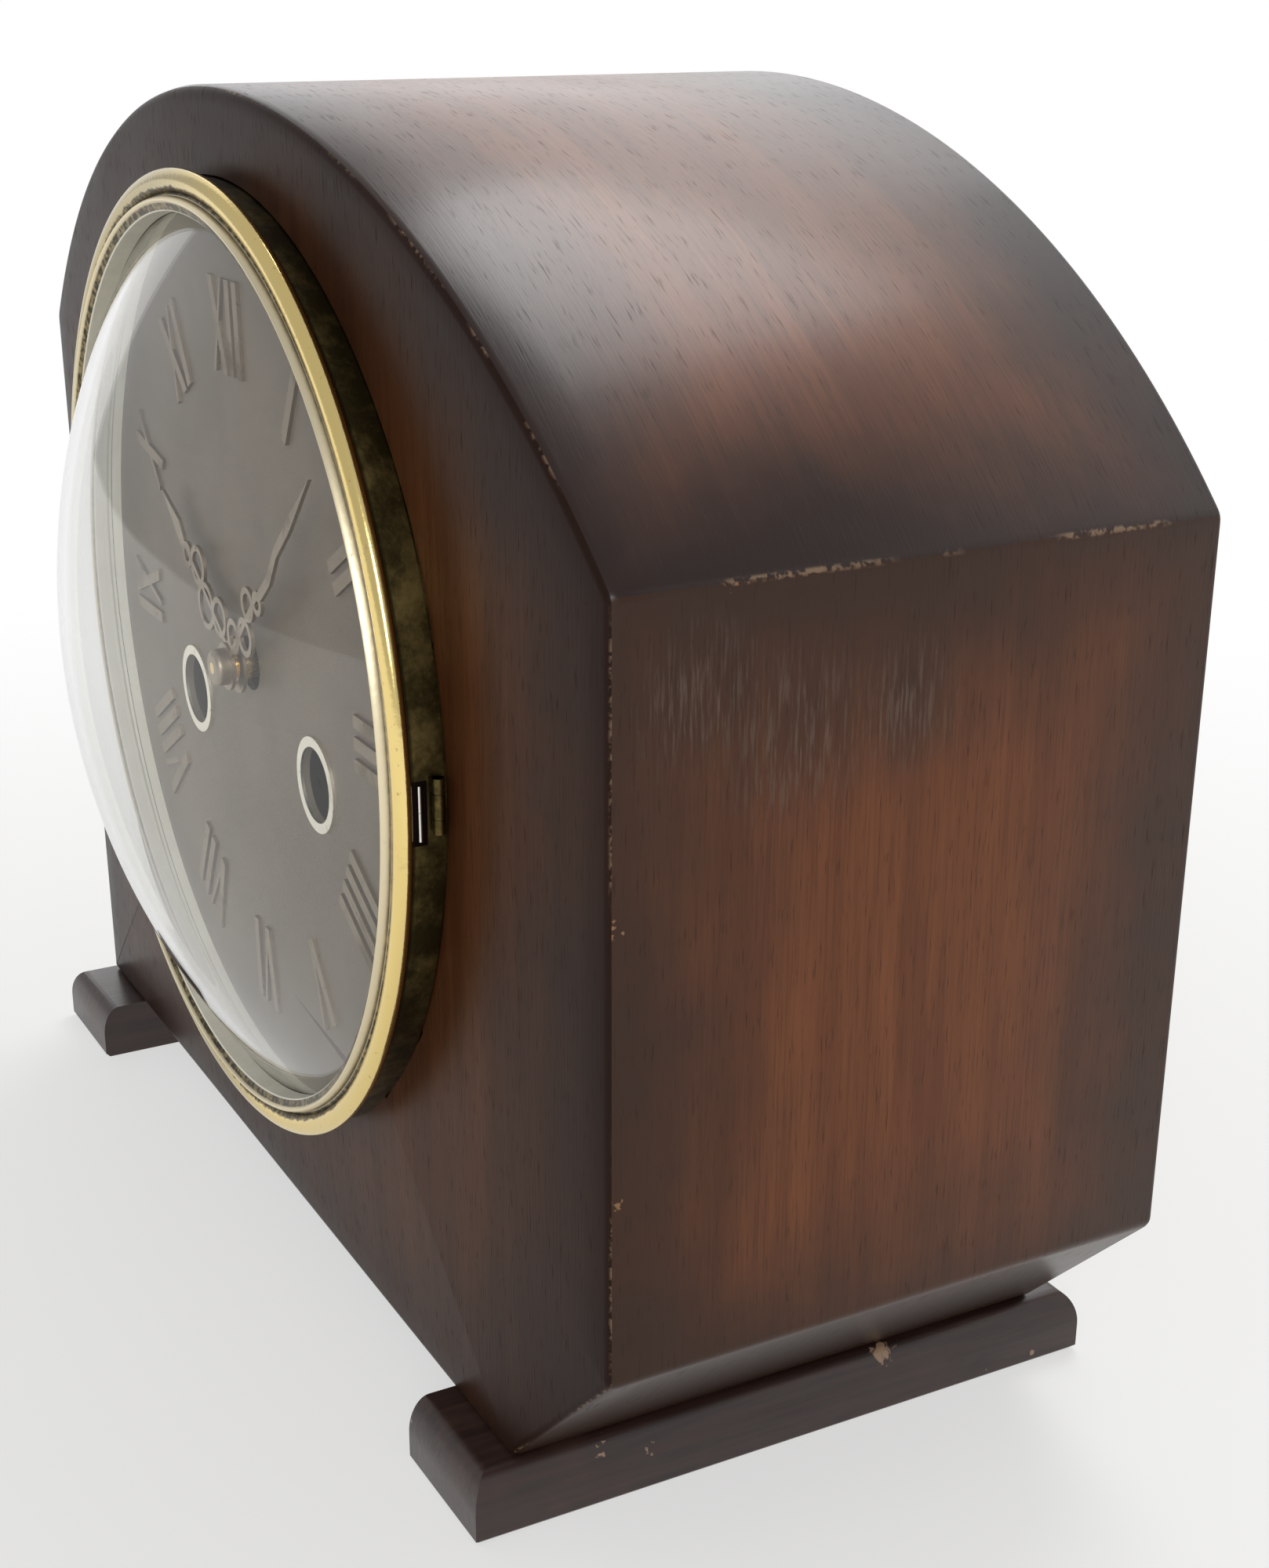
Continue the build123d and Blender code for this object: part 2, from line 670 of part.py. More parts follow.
def make_frame():
    """Movement plates with their pivot holes, pillars, standoffs and nuts."""
    middle = (plate_above - plate_below) / 2
    outline = Pos(0, middle) * RectangleRounded(2 * plate_half_width, plate_above + plate_below, pillar_r)
    front = outline
    back = outline
    for x, z, r in arbor_holes:
        front -= Pos(x, z) * Circle(r + run_gap)
        back -= Pos(x, z) * Circle((centre_arbor_r if x == z else r) + run_gap)
    front = slab(Pos(0, dial_z) * front, front_plate_y, front_plate_y + plate)
    front += rod(0, dial_z - minute_stud_drop, stud_r, hour_wheel_y - pinion_over, front_plate_y)
    for x in (-hole_x, hole_x):
        front += rod(x, hole_z + click_rise, click_stud_r, ratchet_y - side_gap, front_plate_y)
    save("movement_front_plate", front)
    save("movement_back_plate", slab(Pos(0, dial_z) * back, back_plate_y, back_plate_y + plate))
    inside = (front_plate_y + plate, back_plate_y)
    outside = back_plate_y + plate
    save("plate_pillars", *[rod(x, dial_z + z, pillar_r, *inside) for x, z in corners])
    between = (panel_thickness, front_plate_y)
    save("movement_standoffs", *[rod(x, dial_z + z, standoff_r, *between) for x, z in corners])
    nuts = [slab(Pos(x, dial_z + z) * RegularPolygon(pillar_nut_r, 6), outside, outside + pillar_nut)
            for x, z in corners]
    save("pillar_nuts", *nuts)


def make_winding(name, x, teeth_y):
    """One mainspring barrel: toothed drum, spring pack, winding arbor with ratchet, and the click."""
    z = hole_z
    front = great_y + great_width + drum_wall
    drum = slab(Pos(x, z) * gear(great_teeth, great_module, 0), teeth_y, teeth_y + great_width)
    drum += rod(x, z, drum_r, great_y, drum_back)
    drum -= rod(x, z, drum_r - drum_wall, front, drum_back - drum_wall)
    drum -= rod(x, z, barrel_arbor_r + run_gap, great_y - great_width, drum_back + great_width)
    save(name + "_barrel", drum)
    end = drum_back - drum_wall - side_gap
    spring = ring(x, z, drum_r - drum_wall - side_gap, barrel_core_r + side_gap, front, end)
    save(name + "_mainspring", spring)

    arbor = rod(x, z, barrel_arbor_r, ratchet_y, back_plate_y + plate)
    arbor += rod(x, z, barrel_core_r, front + side_gap, drum_back - drum_wall - side_gap)
    arbor += slab(Pos(x, z) * Rectangle(square_side, square_side), square_front, ratchet_y)
    teeth = []
    for tooth in range(ratchet_teeth):
        turn = 2 * pi * tooth / ratchet_teeth
        teeth.append((ratchet_r * cos(turn), ratchet_r * sin(turn)))
        turn = 2 * pi * (tooth + ratchet_lean_share) / ratchet_teeth
        teeth.append(((ratchet_r - ratchet_tooth) * cos(turn), (ratchet_r - ratchet_tooth) * sin(turn)))
    arbor += slab(Pos(x, z) * polygon(teeth), ratchet_y, ratchet_y + ratchet_width)
    save(name + "_winding_arbor", arbor)

    lift = ratchet_r + click_gap - click_rise
    arm = Circle(click_width / 2 + click_stud_r) + polygon([(-click_width / 2, 0), (click_width / 2, 0),
                                                            (click_width / 2, lift), (0, lift)])
    arm -= Circle(click_stud_r + run_gap)
    save(name + "_click", slab(Pos(x, z + click_rise) * arm, ratchet_y, ratchet_y + ratchet_width))


def make_going():
    """Going train: centre, third and escape wheels on their arbors, with the anchor and crutch."""
    inside = (front_plate_y, back_plate_y + plate)
    centre_phase = meshed(great_teeth, 0, pinion_leaves, -hole_x, hole_drop)
    centre = wheel(0, dial_z, centre_teeth, centre_module, 0, wheel_y, wheel_width, hub_r)
    centre += pinion(0, dial_z, pinion_leaves, great_module, centre_phase, great_y, great_width)
    centre += rod(0, dial_z, arbor_r, great_y + great_width, wheel_y)
    centre += rod(0, dial_z, centre_arbor_r, minute_hand_y - nut_height, back_plate_y + plate)
    save("centre_wheel", centre)

    z = dial_z + third_z
    phase = meshed(centre_teeth, 0, pinion_leaves, third_x, third_z)
    third = wheel(third_x, z, third_teeth, third_module, 0, third_y, wheel_width, hub_r)
    third += pinion(third_x, z, pinion_leaves, centre_module, phase, wheel_y, wheel_width)
    save("third_wheel", third + rod(third_x, z, arbor_r, *inside))

    z = dial_z + escape_z
    phase = meshed(third_teeth, 0, pinion_leaves, -third_x, escape_z - third_z)
    teeth = []
    for tooth in range(escape_teeth):
        for lean, reach in escape_tooth_share:
            turn = 2 * pi * (tooth + lean) / escape_teeth
            teeth.append((escape_r * reach * cos(turn), escape_r * reach * sin(turn)))
    face = polygon(teeth) - crossing(escape_r * escape_rim_share, hub_r)
    escape = slab(Pos(0, z) * face, escape_y, escape_y + wheel_width)
    escape += pinion(0, z, pinion_leaves, third_module, phase, third_y, wheel_width)
    save("escape_wheel", escape + rod(0, z, arbor_r, *inside))

    axis_z = dial_z + anchor_z
    drop = anchor_z - escape_z
    reach = anchor_reach * pallet_x_share
    inner = reach - anchor_bar / 3
    tips = []
    for side in (-1, 1):
        tips.append(polygon([(0, anchor_bar / 2), (0, -anchor_bar / 2),
                             (side * inner, -drop + anchor_reach * pallet_z_share),
                             (side * reach, -drop + anchor_reach * pallet_x_share),
                             (side * (inner + pallet_width), -drop + anchor_reach)]))
    face = tips[0] + tips[1] + Circle(anchor_bar)
    face -= Pos(0, -drop) * Circle(anchor_reach)
    anchor = slab(Pos(0, axis_z) * face, escape_y, escape_y + wheel_width)
    anchor += rod(0, axis_z, arbor_r, front_plate_y, crutch_y + crutch_width)
    anchor += block(-anchor_bar / 2, anchor_bar / 2, crutch_y, crutch_y + crutch_width,
                    axis_z - crutch_drop, axis_z)
    anchor += rod(0, axis_z, anchor_bar, crutch_y, crutch_y + crutch_width)
    fork = rod_r + side_gap
    foot_z = axis_z - crutch_drop
    anchor += block(-fork - anchor_bar / 2, fork + anchor_bar / 2, crutch_y, crutch_y + crutch_width,
                    foot_z - anchor_bar, foot_z)
    for side in (-1, 1):
        low, high = sorted((side * fork, side * (fork + anchor_bar / 2)))
        anchor += block(low, high, crutch_y, pendulum_y + rod_r, foot_z - anchor_bar, foot_z)
    save("anchor_and_crutch", anchor)


def make_pendulum():
    """Suspension cock, spring, rod, lenticular bob and rating nut."""
    axis_z = dial_z + anchor_z
    top = axis_z + spring_rise
    back = back_plate_y + plate
    half = cock_width / 2
    cock = block(-half, half, back, back + cock_thickness, axis_z + anchor_bar + side_gap,
                 top + cock_height / 2)
    cock += block(-half, half, back, pendulum_y + spring_width, top - cock_grip, top + cock_height / 2)
    cock -= block(-cock_slot / 2, cock_slot / 2, pendulum_y - spring_width / 2 - side_gap,
                  pendulum_y + 2 * spring_width, 0, top)
    save("suspension_cock", cock)

    bob_z = axis_z - bob_drop
    low = bob_z - bob_r - rating_nut - rod_tail
    hook = axis_z - spring_rise
    y0, y1 = pendulum_y - spring_width / 2, pendulum_y + spring_width / 2
    strip = block(-spring_strip / 2, spring_strip / 2, y0, y1, hook, top - side_gap)
    bar = block(-rod_r, rod_r, y0, y1, hook - spring_rise, hook)
    bar += Pos(0, pendulum_y, (low + hook) / 2) * Cylinder(rod_r, hook - low)
    save("suspension_spring", strip)
    save("pendulum_rod", bar)

    half = bob_thickness / 2
    swell = half - bob_edge / 2
    lens_r = (bob_r ** 2 + swell ** 2) / (2 * swell)
    bob = rod(0, bob_z, bob_r, pendulum_y - half, pendulum_y + half)
    for side in (-1, 1):
        bob &= Pos(0, pendulum_y + side * (lens_r - half), bob_z) * Sphere(lens_r)
    save("pendulum_bob", bob - Pos(0, pendulum_y, bob_z) * Cylinder(rod_r, 4 * bob_r))
    nut_z = bob_z - bob_r - rating_nut / 2
    nut = Pos(0, pendulum_y, nut_z) * (Cylinder(rating_nut_r, rating_nut) - Cylinder(rod_r, 2 * rating_nut))
    save("rating_nut", nut)


def make_motion_work():
    """Cannon pinion, minute wheel and hour wheel behind the dial."""
    cannon = slab(Pos(0, dial_z) * gear(cannon_teeth, minute_module, 0), motion_y - pinion_over,
                  motion_y + motion_width + pinion_over)
    cannon += rod(0, dial_z, cannon_pipe_r, minute_hand_y, front_plate_y - side_gap)
    bore = rod(0, dial_z, centre_arbor_r + run_gap, minute_hand_y - hand_thickness, front_plate_y)
    save("cannon_pinion", cannon - bore)

    z = dial_z - minute_stud_drop
    phase = meshed(cannon_teeth, 0, minute_teeth, 0, -minute_stud_drop)
    minute = slab(Pos(0, z) * gear(minute_teeth, minute_module, phase), motion_y, motion_y + motion_width)
    minute += pinion(0, z, minute_leaves, hour_module, 90, hour_wheel_y, motion_width)
    minute += rod(0, z, stud_r * 2, hour_wheel_y, motion_y)
    save("minute_wheel", minute - rod(0, z, stud_r + run_gap, 0, front_plate_y))

    phase = meshed(minute_leaves, 90, hour_teeth, 0, minute_stud_drop)
    inner = cannon_pipe_r + run_gap
    toothed = Pos(0, dial_z) * gear(hour_teeth, hour_module, phase)
    hour = slab(toothed, hour_wheel_y, hour_wheel_y + motion_width)
    hour += rod(0, dial_z, inner + hour_pipe_wall, hour_hand_y, hour_wheel_y)
    save("hour_wheel", hour - rod(0, dial_z, inner, hour_hand_y - motion_width, front_plate_y))


def make_striking():
    """Pin wheel, third wheel, fly, hammer, gong rods and their block."""
    inside = (front_plate_y, back_plate_y + plate)
    z = dial_z + pin_z
    phase = meshed(great_teeth, 0, pinion_leaves, pin_x + hole_x, pin_z + hole_drop)
    pins = wheel(pin_x, z, pin_teeth, pin_module, 0, wheel_y, wheel_width, hub_r)
    pins += pinion(pin_x, z, pinion_leaves, pin_pinion_module, phase, strike_great_y, great_width)
    pins += rod(pin_x, z, arbor_r, *inside)
    pins += ring(pin_x, z, pin_circle + rim_width / 2, pin_circle - rim_width / 2, wheel_y,
                 wheel_y + wheel_width)
    for pin in range(lift_pins):
        turn = 2 * pi * pin / lift_pins
        pins += rod(pin_x + pin_circle * cos(turn), z + pin_circle * sin(turn), lift_pin_r, wheel_y,
                    wheel_y + wheel_width + lift_pin_length)
    save("strike_pin_wheel", pins)

    z = dial_z + strike_third_z
    phase = meshed(pin_teeth, 0, pinion_leaves, strike_third_x - pin_x, strike_third_z - pin_z)
    third = wheel(strike_third_x, z, strike_third_teeth, fly_module, 0, strike_third_y, wheel_width,
                  2 * arbor_r)
    third += pinion(strike_third_x, z, pinion_leaves, pin_module, phase, wheel_y, wheel_width)
    save("strike_third_wheel", third + rod(strike_third_x, z, arbor_r, *inside))

    z = dial_z + fly_z
    phase = meshed(strike_third_teeth, 0, fly_leaves, fly_x - strike_third_x, fly_z - strike_third_z)
    fly = pinion(fly_x, z, fly_leaves, fly_module, phase, strike_third_y, wheel_width)
    fly += rod(fly_x, z, arbor_r, *inside)
    vane = Pos(fly_x, z) * Rectangle(2 * fly_r, fly_blade)
    vane_y = third_y - fly_length / 4
    save("fly", fly + slab(vane, vane_y, vane_y + fly_length))

    z = dial_z + hammer_z
    gong_top = board_top + gong_height + rod_gong_r
    rods_end = rod_gong_y + (rod_gong_count - 1) * rod_gong_pitch
    head_low = gong_top + hammer_gap
    head_x = hammer_x + hammer_reach
    hammer = rod(hammer_x, z, arbor_r, front_plate_y, hammer_y + hammer_arm)
    tail_x = hammer_tail_x - hammer_x
    tail_z = hammer_tail_z - hammer_z
    half = hammer_arm / 2
    tail = polygon([(-hammer_arm, 0), (tail_x - half, tail_z), (tail_x + half, tail_z), (hammer_arm, 0)])
    tail = Pos(hammer_x, z) * tail
    tail += Pos(hammer_x, z) * Circle(2 * hammer_arm)
    hammer += slab(tail, escape_y, escape_y + wheel_width)
    drop = z - head_low - hammer_head
    arm = polygon([(-hammer_arm, -hammer_arm), (hammer_arm, hammer_arm),
                   (hammer_reach + hammer_arm, hammer_arm - drop),
                   (hammer_reach - hammer_arm, -hammer_arm - drop)])
    arm = Pos(hammer_x, z) * arm
    hammer += slab(arm + Pos(hammer_x, z) * Circle(2 * hammer_arm), hammer_y, hammer_y + hammer_arm)
    save("hammer", hammer)
    head_y = (rod_gong_y + rods_end) / 2
    head = Pos(head_x, head_y, head_low + hammer_head / 2) * Cylinder(hammer_head_r, hammer_head)
    save("hammer_head", head - (hammer & head))

    gong_z = board_top + gong_height
    block_low = gong_block_x
    iron_back = rod_gong_y + gong_block_depth / 2 + rod_gong_pitch / 2
    iron = block(block_low, block_low + gong_block_length, rod_gong_y - gong_block_depth / 2, iron_back,
                 board_top, board_top + gong_block_height)
    bars = []
    for index in range(rod_gong_count):
        y = rod_gong_y + index * rod_gong_pitch
        bar = Rot(0, 90, 0) * Cylinder(rod_gong_r, block_low - rod_gong_left)
        bars.append(Pos((rod_gong_left + block_low) / 2, y, gong_z) * bar)
    save("gong_block", iron)
    save("gong_rods", *bars)


make_case()
make_back()
make_dial()
make_hands()
make_frame()
make_winding("time", hole_x, great_y)
make_winding("strike", -hole_x, strike_great_y)
make_going()
make_pendulum()
make_motion_work()
make_striking()
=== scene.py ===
import bpy
from math import atan2, cos, hypot, pi, radians, sin, sqrt
from mathutils import Matrix, Vector


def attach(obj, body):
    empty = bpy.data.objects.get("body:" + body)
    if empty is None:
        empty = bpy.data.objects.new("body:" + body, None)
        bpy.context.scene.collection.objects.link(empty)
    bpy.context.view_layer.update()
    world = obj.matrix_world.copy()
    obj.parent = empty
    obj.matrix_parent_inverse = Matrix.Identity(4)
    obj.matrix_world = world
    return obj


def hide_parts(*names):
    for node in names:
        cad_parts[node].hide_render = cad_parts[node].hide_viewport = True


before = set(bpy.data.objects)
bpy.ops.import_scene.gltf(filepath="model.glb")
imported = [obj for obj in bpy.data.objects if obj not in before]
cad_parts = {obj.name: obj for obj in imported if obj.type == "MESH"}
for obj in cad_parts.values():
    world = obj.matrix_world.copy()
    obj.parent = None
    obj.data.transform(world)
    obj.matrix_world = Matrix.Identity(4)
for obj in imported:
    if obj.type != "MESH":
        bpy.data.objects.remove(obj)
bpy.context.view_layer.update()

# The case shell: the bent top, two upright sides and the slanted lower board, one skin of dark walnut
# veneer over boards 8 mm thick, glued at mitred corners. It was sprayed darker towards every edge and
# lacquered to a gloss, and the arris along the shoulder has worn pale.
MM = 0.001
Y_MID = 40.05
FOOT_TOP = 11.0
half_width, left_half, bottom_half = 116.5, 112.9, 89.0
corner_z, crease_z, apex_z = 38.5, 147.3, 198.38
arch_rise = apex_z - crease_z
arch_r = (half_width ** 2 + arch_rise ** 2) / (2 * arch_rise)
arch_mid_z = apex_z - arch_r
left_crease_z = arch_mid_z + sqrt(arch_r ** 2 - left_half ** 2)
board_thick, panel_back, case_back = 8.0, 12.0, 98.0
front_bow = 4.8
bow_r = (half_width ** 2 + front_bow ** 2) / (2 * front_bow)
edge_round = 1.1
arch_steps = 96


def place(x, y, z):
    """A point given in millimetres from the front's middle, in the clock's frame in metres."""
    return (x * MM, (y - Y_MID) * MM, z * MM)


def piece_from(name, points, faces, smooth=True, sharp=0.6):
    """A mesh piece at the origin, smooth apart from edges that turn by more than the sharp angle."""
    mesh = bpy.data.meshes.new(name)
    mesh.from_pydata(points, [], faces)
    mesh.validate()
    mesh.update()
    obj = bpy.data.objects.new(name, mesh)
    bpy.context.scene.collection.objects.link(obj)
    if smooth:
        mesh.polygons.foreach_set("use_smooth", [True] * len(mesh.polygons))
        mesh.set_sharp_from_angle(angle=sharp)
    return obj


def arch_span(start, end, count):
    """Points on the round top between two angles from the upright, in millimetres."""
    turns = [start + (end - start) * i / count for i in range(count + 1)]
    return [(arch_r * sin(turn), arch_mid_z + arch_r * cos(turn)) for turn in turns]


def rounded(corner, before, after, radius, count=4):
    """Points that round one corner of an outline."""
    ax, az = before[0] - corner[0], before[1] - corner[1]
    bx, bz = after[0] - corner[0], after[1] - corner[1]
    la, lb = hypot(ax, az), hypot(bx, bz)
    p = (corner[0] + ax / la * radius, corner[1] + az / la * radius)
    q = (corner[0] + bx / lb * radius, corner[1] + bz / lb * radius)
    out = []
    for i in range(count + 1):
        t = i / count
        out.append(tuple((1 - t) ** 2 * p[k] + 2 * t * (1 - t) * corner[k] + t * t * q[k] for k in (0, 1)))
    return out


def case_line():
    """The outline of the front, anticlockwise from the bottom's left end, with its corners eased."""
    low_l, low_r = (-left_half, FOOT_TOP), (bottom_half, FOOT_TOP)
    out_r, top_r, top_l = (half_width, corner_z), (half_width, crease_z), (-left_half, left_crease_z)
    right = atan2(half_width, crease_z - arch_mid_z)
    left = -atan2(left_half, left_crease_z - arch_mid_z)
    arch = arch_span(right, left, arch_steps)
    line = rounded(low_l, top_l, low_r, edge_round) + rounded(low_r, low_l, out_r, edge_round)
    line += rounded(out_r, low_r, top_r, edge_round) + rounded(top_r, out_r, arch[1], edge_round)
    line += arch[1:-1]
    line += rounded(top_l, arch[-2], low_l, edge_round)
    return line


def inset(line, depth):
    """A closed line moved inwards by a depth."""
    out = []
    count = len(line)
    for i in range(count):
        a, b, c = line[i - 1], line[i], line[(i + 1) % count]
        n1 = (-(b[1] - a[1]), b[0] - a[0])
        n2 = (-(c[1] - b[1]), c[0] - b[0])
        l1, l2 = hypot(*n1) or 1, hypot(*n2) or 1
        nx, nz = n1[0] / l1 + n2[0] / l2, n1[1] / l1 + n2[1] / l2
        length = hypot(nx, nz) or 1
        nx, nz = nx / length, nz / length
        lean = max(0.5, nx * n1[0] / l1 + nz * n1[1] / l1)
        out.append((b[0] + nx * depth / lean, b[1] + nz * depth / lean))
    return out


def skin(rings, count):
    """Faces over some closed rings of as many points each, with the last ring joined to the first."""
    faces = []
    for ring in range(rings):
        for i in range(count):
            j, k = (i + 1) % count, (ring + 1) % rings
            faces.append((ring * count + i, ring * count + j, k * count + j, k * count + i))
    return faces


def add(tree, kind, values=None, **settings):
    """One node with its settings and inputs; a socket given as an input is linked."""
    made = tree.nodes.new(kind)
    for key, value in settings.items():
        setattr(made, key, value)
    for key, value in (values or {}).items():
        if isinstance(value, bpy.types.NodeSocket):
            tree.links.new(value, made.inputs[key])
        else:
            made.inputs[key].default_value = value
    return made


def sums(tree, operation, a, b=0.0, c=0.0):
    """One step of arithmetic on shader values."""
    return add(tree, "ShaderNodeMath", {0: a, 1: b, 2: c}, operation=operation).outputs[0]


def least(tree, *values):
    """The least of some shader values."""
    low = values[0]
    for value in values[1:]:
        low = sums(tree, "MINIMUM", low, value)
    return low


def blend_colour(tree, share, one, two, most=1.0):
    """The second colour over the first by a share, which most scales down."""
    if most < 1.0:
        share = sums(tree, "MULTIPLY", share, most)
    made = add(tree, "ShaderNodeMix", {0: share, 6: (*one, 1) if isinstance(one, tuple) else one,
                                       7: (*two, 1) if isinstance(two, tuple) else two}, data_type="RGBA")
    return made.outputs[2]


def ease(tree, value, low, high):
    """A smooth step from 0 at low to 1 at high."""
    made = add(tree, "ShaderNodeMapRange", {"Value": value, "From Min": low, "From Max": high},
               interpolation_type="SMOOTHSTEP")
    return made.outputs["Result"]


def noise(tree, where, scale, detail=3.0, roughness=0.55, stretch=None):
    """Noise at a scale per metre, drawn out along some axes if stretch is given."""
    if stretch:
        where = add(tree, "ShaderNodeMapping", {"Vector": where, "Scale": stretch}).outputs[0]
    made = add(tree, "ShaderNodeTexNoise", {"Vector": where, "Scale": scale, "Detail": detail,
                                            "Roughness": roughness})
    return made.outputs[0]


def start_finish(name):
    """An empty material, its shader and its object coordinates split into x, y and z."""
    made = bpy.data.materials.new(name)
    made.use_nodes = True
    tree = made.node_tree
    tree.nodes.clear()
    out = tree.nodes.new("ShaderNodeOutputMaterial")
    shader = tree.nodes.new("ShaderNodeBsdfPrincipled")
    tree.links.new(shader.outputs[0], out.inputs[0])
    where = tree.nodes.new("ShaderNodeTexCoord").outputs["Object"]
    split = add(tree, "ShaderNodeSeparateXYZ", {0: where})
    return made, tree, shader, where, split.outputs


def marks(tree, where, places, core=0.6):
    """Worn spots at given places, each with its radius in millimetres, full within a share of it."""
    total = None
    ragged = sums(tree, "MULTIPLY", sums(tree, "SUBTRACT", noise(tree, where, 700.0), 0.5), 0.006)
    for point, radius in places:
        away = add(tree, "ShaderNodeVectorMath", {0: where, 1: place(*point)}, operation="DISTANCE")
        reach = sums(tree, "ADD", away.outputs["Value"], ragged)
        spot = sums(tree, "SUBTRACT", 1.0, ease(tree, reach, radius * core * MM, radius * MM))
        total = spot if total is None else sums(tree, "MAXIMUM", total, spot)
    return total


def from_axis(tree, across, up):
    """How far a place lies from an axis, by its two offsets from it."""
    squares = sums(tree, "ADD", sums(tree, "POWER", across, 2.0), sums(tree, "POWER", up, 2.0))
    return sums(tree, "SQRT", squares)


def relief(tree, shader, strength, distance, height):
    """Fine relief on a finish, by a shader value."""
    bump = add(tree, "ShaderNodeBump", {"Strength": strength, "Distance": distance, "Height": height})
    tree.links.new(bump.outputs[0], shader.inputs["Normal"])


bare_wood = (0.34, 0.22, 0.14)
side_low, low_shade = 32.0, 8.0


def veneer(name, face, centre, edge_tint, coat, gloss):
    """Lacquered walnut veneer for one face of the case: grain along it, spray shading in from its edges."""
    made, tree, shader, where, (x, y, z) = start_finish(name)
    bowed = sums(tree, "MULTIPLY_ADD", sums(tree, "POWER", x, 2.0), 0.5 / (bow_r * MM), -Y_MID * MM)
    from_front = sums(tree, "SUBTRACT", y, bowed)
    from_back = sums(tree, "SUBTRACT", (case_back - Y_MID) * MM, y)
    up = sums(tree, "SUBTRACT", z, arch_mid_z * MM)
    if face == "arch":
        along = sums(tree, "MULTIPLY", sums(tree, "ARCTAN2", x, up), arch_r * MM)
        across = y
        shoulder = sums(tree, "SUBTRACT", arch_r * atan2(half_width, crease_z - arch_mid_z) * MM,
                        sums(tree, "ABSOLUTE", along))
        edge = least(tree, shoulder, from_front, from_back)
        arris = least(tree, sums(tree, "ABSOLUTE", shoulder), sums(tree, "ABSOLUTE", from_front))
    elif face == "front":
        along, across = z, x
        right = sums(tree, "SUBTRACT", half_width * MM, x)
        left = sums(tree, "ADD", x, left_half * MM)
        low = sums(tree, "SUBTRACT", z, FOOT_TOP * MM)
        slant = sums(tree, "SUBTRACT", sums(tree, "ADD", low, right), (half_width - bottom_half) * MM)
        slant = sums(tree, "MULTIPLY", slant, sqrt(0.5))
        arris = least(tree, sums(tree, "SUBTRACT", arch_r * MM, from_axis(tree, x, up)), right, slant)
        edge = least(tree, arris, left, sums(tree, "ADD", low, low_shade * MM))
    else:
        along, across = z, y
        shoulder = sums(tree, "SUBTRACT", crease_z * MM, z)
        edge = least(tree, from_front, from_back, shoulder, sums(tree, "SUBTRACT", z, side_low * MM))
        arris = least(tree, sums(tree, "ABSOLUTE", shoulder), sums(tree, "ABSOLUTE", from_front))
    flow = add(tree, "ShaderNodeCombineXYZ", {0: across, 1: along, 2: 0.0}).outputs[0]
    streak = noise(tree, flow, 1.0, 5.0, 0.6, (150, 9, 1))
    hair = noise(tree, flow, 1.0, 3.0, 0.6, (2600, 60, 1))
    pore = ease(tree, noise(tree, flow, 1.0, 2.0, 0.5, (2600, 210, 1)), 0.58, 0.74)
    cloud = noise(tree, where, 30.0, 4.0)
    smudge = noise(tree, where, 70.0, 3.0)
    dark = tuple(c * k for c, k in zip(centre, (0.74, 0.70, 0.68)))
    light = tuple(c * k for c, k in zip(centre, (1.20, 1.22, 1.20)))
    fibre = tuple(c * 0.45 for c in centre)
    body = blend_colour(tree, ease(tree, streak, 0.32, 0.70), dark, light)
    body = blend_colour(tree, ease(tree, hair, 0.44, 0.72), body, fibre, 0.50)
    depth = sums(tree, "ADD", edge, sums(tree, "MULTIPLY", sums(tree, "SUBTRACT", cloud, 0.5), 0.030))
    depth = sums(tree, "ADD", depth, sums(tree, "MULTIPLY", sums(tree, "SUBTRACT", smudge, 0.5), 0.010))
    colour = blend_colour(tree, ease(tree, depth, -0.002, 0.040), edge_tint, body)
    colour = blend_colour(tree, pore, colour, (0.016, 0.007, 0.004), 0.42)
    rubbed = sums(tree, "MULTIPLY", ease(tree, noise(tree, where, 900.0, 2.0), 0.44, 0.62),
                  ease(tree, noise(tree, where, 55.0, 1.0), 0.46, 0.58))
    line = sums(tree, "SUBTRACT", 1.0, ease(tree, arris, 0.0002, 0.0007))
    colour = blend_colour(tree, sums(tree, "MULTIPLY", rubbed, line), colour, bare_wood, 0.6)
    if face == "side":
        scratch = ease(tree, noise(tree, flow, 1.0, 4.0, 0.6, (1900, 130, 1)), 0.46, 0.66)
        rubs = (((half_width, 31, 126), 16.0), ((half_width, 48, 128), 12.0), ((half_width, 18, 133), 13.0))
        scuffs = marks(tree, where, rubs, core=0.1)
        colour = blend_colour(tree, scuffs, colour, (0.024, 0.014, 0.010), 0.45)
        scraped = sums(tree, "MULTIPLY", scuffs, scratch)
        colour = blend_colour(tree, scraped, colour, (0.24, 0.19, 0.15), 0.26)
        nicks = (((115, 21.7, 147), 1.3), ((half_width, 5.5, 105), 0.8), ((half_width, 5.5, 66.4), 0.9))
        colour = blend_colour(tree, marks(tree, where, nicks), colour, (0.30, 0.16, 0.08), 0.8)
    tree.links.new(colour, shader.inputs["Base Color"])
    rough = sums(tree, "MULTIPLY_ADD", pore, 0.20, sums(tree, "MULTIPLY_ADD", cloud, 0.14, 0.28))
    tree.links.new(rough, shader.inputs["Roughness"])
    grain = sums(tree, "SUBTRACT", hair, sums(tree, "MULTIPLY", pore, 0.8))
    relief(tree, shader, 0.10, 0.0003, grain)
    shader.inputs["Specular IOR Level"].default_value = gloss
    shader.inputs["Coat Weight"].default_value = coat
    shader.inputs["Coat Roughness"].default_value = 0.20
    return made


